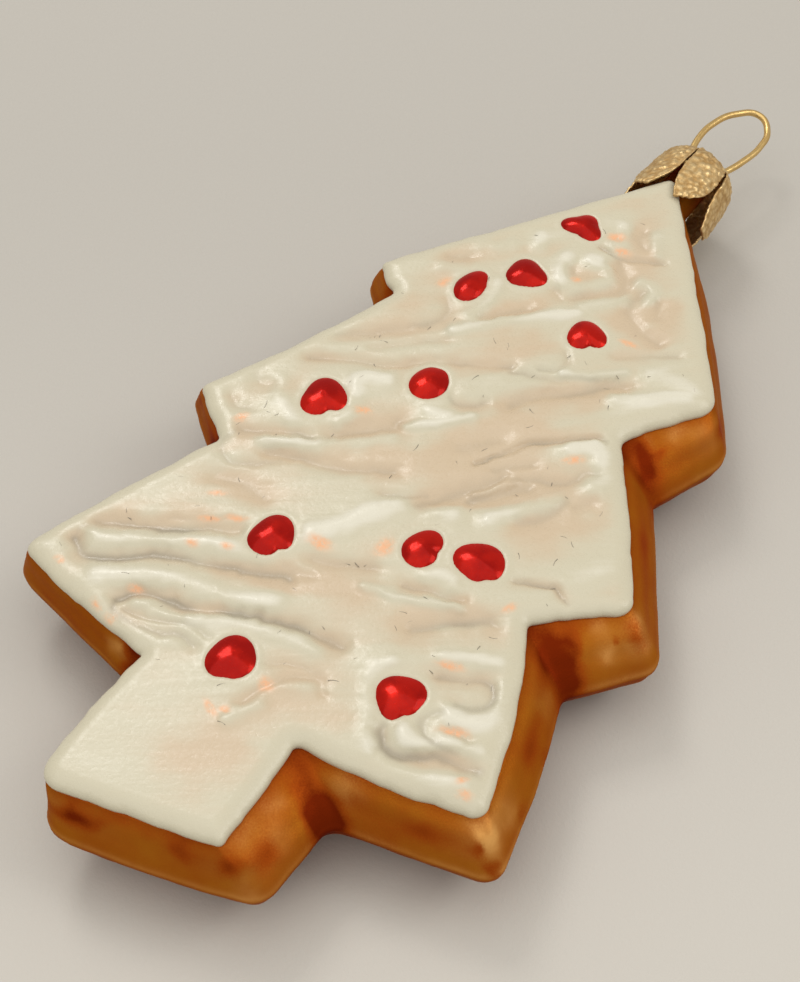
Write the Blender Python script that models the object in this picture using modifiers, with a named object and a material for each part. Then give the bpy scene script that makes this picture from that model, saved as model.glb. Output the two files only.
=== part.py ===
"""A blown glass tree ornament, painted as an iced sugar cookie, lying on its back.

The design is worked out in millimetres in the tree's own plan: +X to the tree's right, +Y from the
trunk to the tip, +Z out of the icing. Every mesh is then shifted so that the origin is under the
middle of the whole ornament, on the surface it lies on, and scaled to metres.
"""
import math

import bmesh
import bpy
from mathutils import Matrix, Vector
from mathutils.geometry import delaunay_2d_cdt, intersect_point_line

MM = 0.001

# Levels above the surface that the ornament lies on
EDGE_Z = 12.0
WIDE_Z = 7.0
GAP = 0.3
PLAN_CENTRE_X = 1.18
PLAN_CENTRE_Y = 62.18

# Icing outline, round the tree from the tip, left side first: x, y, the corner's radius, and how
# far the side that follows it bows out
ICING_OUTLINE = [
    (0.0, 105.2, 0.9, 0.0),
    (-21.0, 73.6, 1.0, 0.3), (-16.7, 70.7, 1.2, -0.4),
    (-26.4, 47.0, 1.0, 0.0), (-20.1, 42.3, 1.0, 0.2),
    (-28.2, 19.3, 1.4, 0.3), (-9.4, 16.3, 0.6, 0.3),
    (-9.4, -0.5, 2.4, 0.1), (9.5, 4.2, 0.8, 0.1),
    (8.6, 16.9, 1.0, 0.6), (28.2, 20.2, 1.6, 0.6),
    (19.7, 41.2, 1.0, -0.3), (27.7, 48.2, 1.3, 0.3),
    (15.2, 66.6, 1.6, -0.3), (21.6, 76.3, 1.6, 0.2),
]
# The same corners where the glass is widest, half way down its wall
WIDE_OUTLINE = [
    (0.6, 107.0, 2.2, 0.0),
    (-23.4, 73.6, 2.2, 0.0), (-19.0, 69.8, 1.2, 0.0),
    (-29.2, 47.8, 2.2, 0.0), (-21.9, 41.9, 1.2, 0.0),
    (-31.0, 18.7, 4.0, 0.0), (-10.9, 14.6, 1.0, 0.0),
    (-8.4, -3.5, 4.6, 0.3), (15.2, 2.9, 3.4, 0.0),
    (15.3, 13.2, 1.6, 0.0), (32.2, 17.2, 2.8, 0.4),
    (26.2, 38.2, 1.6, 0.0), (32.7, 46.4, 3.0, 0.0),
    (21.5, 64.4, 1.6, 0.0), (25.4, 74.2, 4.8, 0.9),
]
ARC_STEPS = 4
SIDE_STEPS = 4

# Wall above the widest line: level below the icing, share of the way out
UPPER_WALL = [(GAP, 0.0), (1.3, 0.42), (2.6, 0.74), (3.6, 0.92), (4.3, 1.0)]
# Wall below it: level above the surface, distance in from the widest line
LOWER_WALL = [(5.0, 0.8), (3.0, 2.2), (1.2, 3.9), (0.3, 5.2), (0.0, 6.0)]

# Glass neck inside the cap
NECK_Z = EDGE_Z - 4.0
NECK_R = 2.6
NECK_START_Y = 101.0
NECK_END_Y = 110.4

# Icing: rings in from the edge as distance in and height, then a grid inside
ICING_RIM = [(0.0, 0.35), (0.35, 0.7), (1.1, 0.95)]
ICING_HEIGHT = 1.05
ICING_GRID = 1.25
BRUSH_ANGLE = math.radians(36.0)
BRUSH_PITCH = 6.4
BRUSH_DEPTH = 0.2

# Candies: x, y, width, length, turn in degrees, share of triangle in the outline, then the
# direction and depth of the notch in it
CANDIES = [
    (-4.5, 91.5, 4.9, 3.7, 0.0, 0.17, -90.0, 0.0),
    (-10.1, 76.0, 3.4, 5.3, -12.0, 0.03, 52.0, 0.08),
    (-5.9, 81.2, 4.8, 4.3, -90.0, 0.10, -20.0, 0.04),
    (4.8, 76.9, 4.5, 4.3, 35.0, 0.07, -45.0, 0.22),
    (-14.1, 52.9, 4.9, 5.5, 160.0, 0.08, -38.0, 0.16),
    (-5.8, 61.1, 4.2, 5.0, 5.0, 0.02, 100.0, 0.04),
    (-7.5, 34.7, 4.6, 5.5, 20.0, 0.05, -33.0, 0.18),
    (6.2, 42.2, 4.0, 5.1, -10.0, 0.04, 15.0, 0.1),
    (12.0, 44.1, 5.6, 4.8, -15.0, 0.05, -42.0, 0.14),
    (-1.8, 20.5, 4.9, 5.4, 25.0, 0.05, -70.0, 0.06),
    (14.4, 26.3, 4.9, 5.2, 200.0, 0.07, -48.0, 0.14),
]
NOTCH_SPREAD = 0.4
CANDY_HEIGHT = 0.8
CANDY_SEAT = 0.8
CANDY_SIDES = 24
CANDY_RINGS = 8

# Cap: a crown that folds into petals round the glass neck
CAP_X = 0.0
CAP_TOP_Y = 112.4
CAP_SHEET = 0.45
CROWN_R = 3.0
# Petals round the crown: direction of the middle, half angle, how far it flares, and how much
# further back one side of its end reaches
PETALS = [
    (5.5, 29.5, 0.6, 0.3), (62.8, 27.7, 0.3, 0.8), (125.2, 34.8, 0.0, -0.2),
    (189.3, 29.3, 0.0, 0.0), (248.0, 29.3, 0.0, 0.0), (306.7, 29.3, 0.2, 0.0),
]
PETAL_COLUMNS = 6
# Down each petal: radius, y and share of its half angle
PETAL_ROWS = [
    (3.9, 112.0, 0.95), (4.6, 111.1, 0.93), (4.95, 109.4, 0.92),
    (5.15, 107.0, 0.9), (5.3, 104.7, 0.74), (5.4, 102.5, 0.33),
]

# Wire loop, in a plane that is rolled about the tree's length
LOOP_ROLL = math.radians(-15.0)
LOOP_X = -0.3
WIRE_R = 0.44
LOOP_ROUTE = [
    (-1.8, 110.9), (-1.85, 112.6), (-2.6, 117.4), (-2.4, 120.5), (-1.0, 124.2), (1.5, 126.35),
    (3.5, 124.9), (4.1, 121.8), (3.6, 118.0), (2.25, 112.6), (2.2, 110.9),
]
WIRE_HOLE_R = 0.74

COLOURS = {
    "cookie_body": ((0.27, 0.065, 0.008), 0.22, 0.0),
    "icing": ((0.72, 0.64, 0.47), 0.45, 0.0),
    "candy": ((0.42, 0.008, 0.006), 0.12, 0.0),
    "cap": ((0.62, 0.41, 0.17), 0.35, 1.0),
    "hanging_loop": ((0.62, 0.42, 0.18), 0.3, 1.0),
}


def clear_scene():
    for old in list(bpy.data.objects):
        bpy.data.objects.remove(old)


def new_collection(name):
    collection = bpy.data.collections.new(name)
    bpy.context.scene.collection.children.link(collection)
    return collection


def principled(name):
    colour, roughness, metallic = COLOURS[name]
    material = bpy.data.materials.new(name)
    material.use_nodes = True
    shader = material.node_tree.nodes["Principled BSDF"]
    shader.inputs["Base Color"].default_value = (*colour, 1.0)
    shader.inputs["Roughness"].default_value = roughness
    shader.inputs["Metallic"].default_value = metallic
    return material


def to_frame(point):
    x, y, z = point
    return Vector((x - PLAN_CENTRE_X, y - PLAN_CENTRE_Y, z)) * MM


def add_object(name, bm, collection, material=None):
    """Turn a bmesh in plan millimetres into an object in the part's own frame."""
    for vertex in bm.verts:
        vertex.co = to_frame(vertex.co)
    bmesh.ops.recalc_face_normals(bm, faces=bm.faces)
    mesh = bpy.data.meshes.new(name)
    bm.to_mesh(mesh)
    bm.free()
    obj = bpy.data.objects.new(name, mesh)
    collection.objects.link(obj)
    if material:
        mesh.materials.append(material)
    mesh.shade_smooth()
    mesh.set_sharp_from_angle(angle=math.radians(40.0))
    return obj


def mark_cutter(obj):
    obj.hide_render = True
    obj.display_type = "WIRE"


def cylinder_along_y(x, z, radius, start_y, end_y, sides):
    bm = bmesh.new()
    bmesh.ops.create_cone(
        bm, cap_ends=True, segments=sides, radius1=radius, radius2=radius,
        depth=end_y - start_y,
    )
    middle = Vector((x, (start_y + end_y) / 2, z))
    turn = Matrix.Rotation(math.radians(90.0), 4, "X")
    bmesh.ops.transform(bm, matrix=Matrix.Translation(middle) @ turn, verts=bm.verts)
    return bm


# Outlines

def blend(first, second, share):
    return [tuple(a + (b - a) * share for a, b in zip(p, q)) for p, q in zip(first, second)]


def inset(corners, distance):
    """Move every side of a counterclockwise outline in by the distance."""
    moved = []
    count = len(corners)
    for i, (x, y, radius, bow) in enumerate(corners):
        here = Vector((x, y))
        back = (here - Vector(corners[i - 1][:2])).normalized()
        ahead = (Vector(corners[(i + 1) % count][:2]) - here).normalized()
        bisector = Vector((-back.y - ahead.y, back.x + ahead.x)).normalized()
        reach = distance / bisector.dot(Vector((-back.y, back.x)))
        turns_left = back.cross(ahead) > 0
        change = -distance if turns_left else distance
        corner = here + bisector * reach
        moved.append((corner.x, corner.y, max(radius + change, 0.5), bow))
    return moved


def rounded(corners):
    """Points round an outline: an arc at each corner, then the side that follows it."""
    arcs = []
    count = len(corners)
    for i, (x, y, radius, _) in enumerate(corners):
        here = Vector((x, y))
        to_last = Vector(corners[i - 1][:2]) - here
        to_next = Vector(corners[(i + 1) % count][:2]) - here
        half_angle = to_last.angle(to_next) / 2
        reach = min(radius / math.tan(half_angle), 0.45 * to_last.length, 0.45 * to_next.length)
        start = here + to_last.normalized() * reach
        end = here + to_next.normalized() * reach
        arc = []
        for step in range(ARC_STEPS + 1):
            t = step / ARC_STEPS
            arc.append(start.lerp(here, t).lerp(here.lerp(end, t), t))
        arcs.append(arc)
    points = []
    for i, arc in enumerate(arcs):
        points += arc
        following = arcs[(i + 1) % count][0]
        side = following - arc[-1]
        outward = Vector((side.y, -side.x)).normalized() * corners[i][3]
        for step in range(1, SIDE_STEPS):
            t = step / SIDE_STEPS
            points.append(arc[-1] + side * t + outward * 4 * t * (1 - t))
    return points


def edge_distance(point, outline):
    """Distance from a plan point to an outline, negative outside it."""
    nearest = math.inf
    inside = False
    for a, b in zip(outline, outline[1:] + outline[:1]):
        foot, share = intersect_point_line(point, a, b)
        foot = a.lerp(b, min(max(share, 0.0), 1.0))
        nearest = min(nearest, (Vector(point) - foot).length)
        if (a.y > point[1]) != (b.y > point[1]):
            crossing = a.x + (point[1] - a.y) * (b.x - a.x) / (b.y - a.y)
            inside = inside != (point[0] < crossing)
    return nearest if inside else -nearest


def add_ring(bm, outline, z):
    return [bm.verts.new((p.x, p.y, z)) for p in outline]


def bridge(bm, lower, upper):
    count = len(lower)
    for i in range(count):
        j = (i + 1) % count
        bm.faces.new((lower[i], lower[j], upper[j], upper[i]))


# Sub-parts

def make_body(parts, cutters):
    """The painted glass: a wall lofted between the outlines, with the neck joined on."""
    bm = bmesh.new()
    rings = []
    for z, distance in reversed(LOWER_WALL):
        rings.append(add_ring(bm, rounded(inset(WIDE_OUTLINE, distance)), z))
    rings.append(add_ring(bm, rounded(WIDE_OUTLINE), WIDE_Z))
    for depth, share in reversed(UPPER_WALL):
        corners = blend(ICING_OUTLINE, WIDE_OUTLINE, share)
        rings.append(add_ring(bm, rounded(corners), EDGE_Z - depth))
    for lower, upper in zip(rings, rings[1:]):
        bridge(bm, lower, upper)
    bm.faces.new(list(reversed(rings[0])))
    bm.faces.new(rings[-1])
    body = add_object("cookie_body", bm, parts, principled("cookie_body"))

    neck_bm = cylinder_along_y(CAP_X, NECK_Z, NECK_R, NECK_START_Y, NECK_END_Y, 24)
    neck = add_object("neck_guide", neck_bm, cutters)
    mark_cutter(neck)
    join = body.modifiers.new("Neck", "BOOLEAN")
    join.operation = "UNION"
    join.object = neck


def brush_relief(x, y):
    """Height of the brushed icing: slanted ridges that wander and fade in and out."""
    along = x * math.cos(BRUSH_ANGLE) + y * math.sin(BRUSH_ANGLE)
    across = y * math.cos(BRUSH_ANGLE) - x * math.sin(BRUSH_ANGLE)
    across += 1.3 * math.sin(along / 9.0) + 0.8 * math.sin(along / 4.3 + 1.7)
    strength = 0.65 + 0.35 * math.sin(along / 11.0 + across / 7.0)
    wave = math.sin(2 * math.pi * across / BRUSH_PITCH)
    fine = 0.45 * math.sin(2 * math.pi * across / (0.43 * BRUSH_PITCH) + along / 5.0)
    return BRUSH_DEPTH * strength * (wave + fine)


def icing_height(x, y, distance_in):
    """Top of the icing above its underside, levelled under each candy."""
    share = min(distance_in / 3.5, 1.0)
    height = ICING_RIM[-1][1] + (ICING_HEIGHT - ICING_RIM[-1][1]) * share
    height += brush_relief(x, y) * share
    for candy_x, candy_y, width, length, *_ in CANDIES:
        distance = math.hypot(x - candy_x, y - candy_y)
        reach = 0.5 * max(width, length) + 0.4
        if distance < reach + 1.5:
            blend_out = min(max((distance - reach) / 1.5, 0.0), 1.0)
            height = CANDY_SEAT + (height - CANDY_SEAT) * blend_out
    return height


def make_icing(parts):
    """A brushed layer whose top is a height over a grid inside the outline."""
    rims = [rounded(inset(ICING_OUTLINE, distance)) for distance, height in ICING_RIM]
    outline = rims[0]
    count = len(outline)
    flat = [p for rim in rims for p in rim]
    heights = [height for distance, height in ICING_RIM for _ in range(count)]
    low = Vector((min(p.x for p in outline), min(p.y for p in outline)))
    high = Vector((max(p.x for p in outline), max(p.y for p in outline)))
    clearance = ICING_RIM[-1][0] + 0.6 * ICING_GRID
    rows = int((high.y - low.y) / ICING_GRID)
    columns = int((high.x - low.x) / ICING_GRID)
    for row in range(rows + 1):
        for column in range(columns + 1):
            shift = 0.5 if row % 2 else 0.0
            point = low + Vector((column + shift, row)) * ICING_GRID
            distance_in = edge_distance(point, outline)
            if distance_in > clearance:
                flat.append(point)
                heights.append(icing_height(point.x, point.y, distance_in))
    loops = [(start + i, start + (i + 1) % count)
             for start in range(0, count * len(rims), count) for i in range(count)]
    points, _, faces, sources, _, _ = delaunay_2d_cdt(flat, loops, [list(range(count))], 1, 1e-6)

    bm = bmesh.new()
    top = [bm.verts.new((p.x, p.y, EDGE_Z + heights[source[0]]))
           for p, source in zip(points, sources)]
    for face in faces:
        bm.faces.new([top[i] for i in face])
    at_source = {source[0]: vertex for vertex, source in zip(top, sources)}
    rim = [at_source[i] for i in range(count)]
    bottom = add_ring(bm, outline, EDGE_Z)
    bridge(bm, bottom, rim)
    bm.faces.new(list(reversed(bottom)))
    return add_object("icing", bm, parts, principled("icing"))


def make_candy(number, shape, parts, material):
    """A smooth drop with a flat base, its outline a notched oval or rounded triangle."""
    x, y, width, length, turn, triangle, notch_turn, notch_depth = shape
    bm = bmesh.new()
    bmesh.ops.create_uvsphere(bm, u_segments=CANDY_SIDES, v_segments=CANDY_RINGS, radius=1.0)
    base = EDGE_Z + CANDY_SEAT + GAP
    spin = math.radians(turn)
    for vertex in bm.verts:
        angle = math.atan2(vertex.co.y, vertex.co.x)
        off_notch = math.remainder(angle - math.radians(notch_turn), math.tau) / NOTCH_SPREAD
        swell = 1.0 + triangle * math.sin(3 * (angle - spin) + math.pi)
        swell *= 1.0 - notch_depth * math.exp(-off_notch ** 2)
        flat = Vector((vertex.co.x * width / 2, vertex.co.y * length / 2)) * swell
        rise = max(vertex.co.z, 0.0) ** 1.3
        vertex.co = Vector((x + flat.x, y + flat.y, base + CANDY_HEIGHT * rise))
    return add_object(f"candy_{number:02d}", bm, parts, material)


def cap_point(radius, angle, y):
    return (CAP_X + radius * math.cos(angle), y, NECK_Z + radius * math.sin(angle))


def make_cap(parts, cutters):
    """Thin sheet: a round crown with a ring of petals folded back over the neck."""
    bm = bmesh.new()
    around = len(PETALS) * PETAL_COLUMNS
    angles = [math.radians(middle + half * (2 * i / PETAL_COLUMNS - 1))
              for middle, half, *_ in PETALS for i in range(PETAL_COLUMNS)]
    centre = bm.verts.new(cap_point(0.0, 0.0, CAP_TOP_Y))
    inner = [bm.verts.new(cap_point(CROWN_R / 2, angle, CAP_TOP_Y)) for angle in angles]
    crown = [bm.verts.new(cap_point(CROWN_R, angle, CAP_TOP_Y)) for angle in angles]
    for i in range(around):
        bm.faces.new((centre, inner[i - 1], inner[i]))
    bridge(bm, inner, crown)
    for petal, (middle, half, flare, slant) in enumerate(PETALS):
        start = petal * PETAL_COLUMNS
        last = [crown[(start + i) % around] for i in range(PETAL_COLUMNS + 1)]
        for step, (radius, y, share) in enumerate(PETAL_ROWS, start=1):
            along = step / len(PETAL_ROWS)
            row = []
            for i in range(PETAL_COLUMNS + 1):
                across = 2 * i / PETAL_COLUMNS - 1
                angle = math.radians(middle + across * share * half)
                reach = radius + flare * min(2.5 * along, 1.0)
                row.append(bm.verts.new(cap_point(reach, angle, y - slant * across * along ** 3)))
            for i in range(PETAL_COLUMNS):
                bm.faces.new((last[i], last[i + 1], row[i + 1], row[i]))
            last = row
    cap = add_object("cap", bm, parts, principled("cap"))
    sheet = cap.modifiers.new("Sheet", "SOLIDIFY")
    sheet.thickness = CAP_SHEET * MM
    sheet.offset = 0.0
    for name, leg in (("hole_left", LOOP_ROUTE[0]), ("hole_right", LOOP_ROUTE[-1])):
        x, _, z = loop_point(*leg)
        hole_bm = cylinder_along_y(x, z, WIRE_HOLE_R, CAP_TOP_Y - 1.0, CAP_TOP_Y + 1.0, 12)
        hole = add_object(name, hole_bm, cutters)
        mark_cutter(hole)
        cut = cap.modifiers.new(name, "BOOLEAN")
        cut.operation = "DIFFERENCE"
        cut.object = hole


def loop_point(across, y):
    return (LOOP_X + across * math.cos(LOOP_ROLL), y, NECK_Z + across * math.sin(LOOP_ROLL))


def make_loop(parts):
    """The wire that the ornament hangs by, whose legs drop through the crown."""
    curve = bpy.data.curves.new("hanging_loop", "CURVE")
    curve.dimensions = "3D"
    curve.bevel_depth = WIRE_R * MM
    curve.bevel_resolution = 2
    curve.resolution_u = 6
    curve.use_fill_caps = True
    spline = curve.splines.new("BEZIER")
    spline.bezier_points.add(len(LOOP_ROUTE) - 1)
    for point, place in zip(spline.bezier_points, LOOP_ROUTE):
        point.co = to_frame(loop_point(*place))
        point.handle_left_type = "AUTO"
        point.handle_right_type = "AUTO"
    curve.materials.append(principled("hanging_loop"))
    obj = bpy.data.objects.new("hanging_loop", curve)
    parts.objects.link(obj)


def main():
    clear_scene()
    parts = new_collection("Iced cookie ornament")
    cutters = new_collection("Cutters")
    make_body(parts, cutters)
    make_icing(parts)
    candy_material = principled("candy")
    for number, shape in enumerate(CANDIES, start=1):
        make_candy(number, shape, parts, candy_material)
    make_cap(parts, cutters)
    make_loop(parts)


main()
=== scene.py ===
"""Looks for a blown glass tree ornament, painted as an iced sugar cookie, lying on its back.

Shapes are worked out in millimetres in the tree's own plan, as in the part's source: +X to the
tree's right, +Y from the trunk to the tip, +Z out of the icing. They are shifted and scaled to the
frame's metres when they become meshes. Sizes in the panel are in metres.
"""
import math

import bmesh
import bpy
import numpy as np
from bpy.props import FloatProperty, FloatVectorProperty, IntProperty, PointerProperty
from mathutils import Matrix, Vector, noise
from mathutils.geometry import delaunay_2d_cdt


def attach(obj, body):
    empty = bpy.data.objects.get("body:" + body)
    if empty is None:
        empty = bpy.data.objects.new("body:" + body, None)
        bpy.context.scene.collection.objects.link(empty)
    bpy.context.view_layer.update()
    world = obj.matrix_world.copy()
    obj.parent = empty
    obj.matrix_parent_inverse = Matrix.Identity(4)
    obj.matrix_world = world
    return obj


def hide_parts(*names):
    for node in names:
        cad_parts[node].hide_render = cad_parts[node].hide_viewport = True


bl_info = {
    "name": "Iced cookie ornament",
    "version": (1, 0, 0),
    "blender": (4, 5, 0),
    "location": "3D View > Sidebar > Ornament",
    "description": "Builds the painted glass, icing, candies, cap and loop of a cookie ornament",
    "category": "Object",
}

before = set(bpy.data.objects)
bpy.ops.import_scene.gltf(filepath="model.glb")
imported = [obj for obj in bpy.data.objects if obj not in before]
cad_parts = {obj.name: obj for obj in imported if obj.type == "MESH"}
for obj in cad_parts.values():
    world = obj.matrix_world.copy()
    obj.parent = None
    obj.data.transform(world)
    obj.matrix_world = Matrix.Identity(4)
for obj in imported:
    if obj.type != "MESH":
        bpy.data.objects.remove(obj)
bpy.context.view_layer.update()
BODY = "root"
MM = 0.001

# Where the tree's plan lies in the frame, and its levels, as in the part's source
PLAN_CENTRE_X = 1.18
PLAN_CENTRE_Y = 62.18
EDGE_Z = 12.0
WIDE_Z = 7.0
NECK_Z = 8.0

# Icing outline from the tip, left side first: x, y, the corner's radius, and how far the side that
# follows it bows out
ICING_OUTLINE = [
    (0.0, 105.2, 0.9, 0.0),
    (-21.0, 73.6, 1.0, 0.3), (-16.7, 70.7, 1.2, -0.4),
    (-26.4, 47.0, 1.0, 0.0), (-20.1, 42.3, 1.0, 0.2),
    (-28.2, 19.3, 1.4, 0.3), (-9.4, 16.3, 0.6, 0.3),
    (-9.4, -0.5, 2.4, 0.1), (9.5, 4.2, 0.8, 0.1),
    (8.6, 16.9, 1.0, 0.6), (28.2, 20.2, 1.6, 0.6),
    (19.7, 41.2, 1.0, -0.3), (27.7, 48.2, 2.0, 0.3),
    (15.2, 66.6, 1.6, -0.3), (21.6, 76.3, 2.6, 0.2),
]
# The same corners where the glass is widest
WIDE_OUTLINE = [
    (0.6, 107.0, 2.2, 0.0),
    (-23.4, 73.6, 2.2, 0.0), (-19.0, 69.8, 1.2, 0.0),
    (-29.2, 47.8, 2.2, 0.0), (-21.9, 41.9, 1.2, 0.0),
    (-31.0, 18.7, 4.0, 0.0), (-10.9, 14.6, 1.0, 0.0),
    (-8.4, -3.5, 4.6, 0.3), (15.2, 2.9, 3.4, 0.0),
    (15.3, 13.2, 1.6, 0.0), (32.2, 17.2, 2.8, 0.4),
    (26.2, 38.2, 1.6, 0.0), (32.7, 46.4, 3.0, 0.0),
    (21.5, 64.4, 1.6, 0.0), (25.4, 74.2, 4.8, 0.9),
]
NOTCHES = [2, 4, 6, 9, 11, 13]
ARC_STEPS = 12
SIDE_STEPS = 28

# Wall of the glass: level, and distance in below the widest line or share of the way out above it
LOWER_WALL = [(0.0, 6.0), (0.3, 5.2), (1.2, 3.9), (3.0, 2.2), (5.0, 0.8), (WIDE_Z, 0.0)]
UPPER_WALL = [(7.7, 1.0), (8.4, 0.92), (9.4, 0.74), (10.7, 0.42), (11.7, 0.0)]
RINGS_PER_SPAN = 5
SEAM_Z = 7.4
SEAM_REACH = 0.35
BACK_SPACING = 1.6
# How far the darkening in each notch reaches: redder lacquer with painted shade in the corner
NOTCH_DARKENING_REACH = 2.0
TIP_PALE_REACH = 5.5

# Dark marks on the wall, then the pale ones: x, y, level, radius, strength. The dark ones are
# burnt-looking blotches, painted shade in the notches and a painted shadow under the cap; the
# pale ones are painted highlights and reflections.
BURNT_AND_SHADOW_MARKS = [
    (18.1, 67.4, 10.9, 1.2, 1.0), (19.4, 66.4, 10.0, 1.2, 1.0), (19.2, 69.0, 10.7, 0.7, 0.7),
    (17.2, 65.6, 8.8, 2.0, 0.5), (23.5, 41.4, 10.7, 1.5, 1.1), (25.0, 41.2, 10.1, 1.1, 0.9),
    (27.6, 45.2, 10.5, 0.7, 0.9), (28.4, 46.9, 10.9, 0.9, 0.6), (26.0, 39.9, 8.9, 1.2, 0.9),
    (23.0, 40.4, 8.6, 1.8, 0.5), (13.8, 13.4, 9.3, 1.6, 1.2), (14.8, 13.1, 8.3, 1.6, 1.0),
    (11.4, 14.2, 10.4, 1.2, 0.7), (11.0, 3.7, 10.4, 1.4, 0.9), (-4.6, -0.4, 10.5, 1.2, 0.7),
    (-0.9, 0.3, 10.4, 1.7, 0.5), (2.6, 1.2, 10.2, 1.6, 0.35), (6.1, 2.4, 10.4, 1.9, 0.6),
    (28.8, 18.1, 9.7, 0.8, 0.8), (30.7, 18.0, 8.6, 1.0, 0.6), (21.0, 15.2, 9.4, 1.5, 0.3),
    (27.6, 31.0, 7.0, 1.4, 0.4), (29.4, 24.6, 8.4, 1.2, 0.35), (-10.9, 15.4, 10.0, 2.0, 0.9),
    (-20.8, 42.0, 10.0, 1.8, 0.8), (-18.0, 70.4, 9.5, 1.8, 0.6), (2.5, 104.0, 9.0, 2.6, 0.8),
    (-24.0, 17.5, 8.5, 1.6, 0.35), (22.8, 76.6, 9.6, 1.6, 0.35), (31.0, 42.4, 8.0, 1.4, 0.3),
]
PALE_MARKS = [
    (16.7, 68.8, 11.5, 0.9, 0.8), (19.3, 71.9, 11.2, 1.1, 0.7), (21.4, 73.4, 11.2, 1.0, 0.3),
    (27.4, 43.6, 9.7, 1.0, 0.7), (30.2, 46.9, 10.4, 1.2, 0.8), (25.6, 45.4, 11.3, 1.0, 0.5),
    (28.3, 47.9, 11.2, 1.1, 0.7), (24.6, 39.1, 9.5, 0.7, 0.8), (9.7, 6.5, 11.2, 1.3, 0.7),
    (9.6, 10.3, 11.0, 1.5, 0.8), (12.8, 8.0, 10.4, 1.6, 0.2), (15.1, 16.1, 10.7, 1.6, 0.5),
    (28.1, 19.8, 11.0, 1.4, 1.0), (29.8, 19.6, 10.1, 1.3, 1.0), (29.2, 23.0, 10.6, 1.8, 0.5),
    (-12.8, 16.2, 10.6, 1.2, 0.8), (9.8, 15.5, 11.2, 0.8, 0.4), (13.8, 2.2, 8.4, 1.8, 0.4),
    (31.6, 18.6, 7.6, 1.6, 0.3), (26.6, 36.4, 10.4, 1.6, 0.4), (-26.0, 44.6, 10.6, 1.4, 0.4),
]
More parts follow.
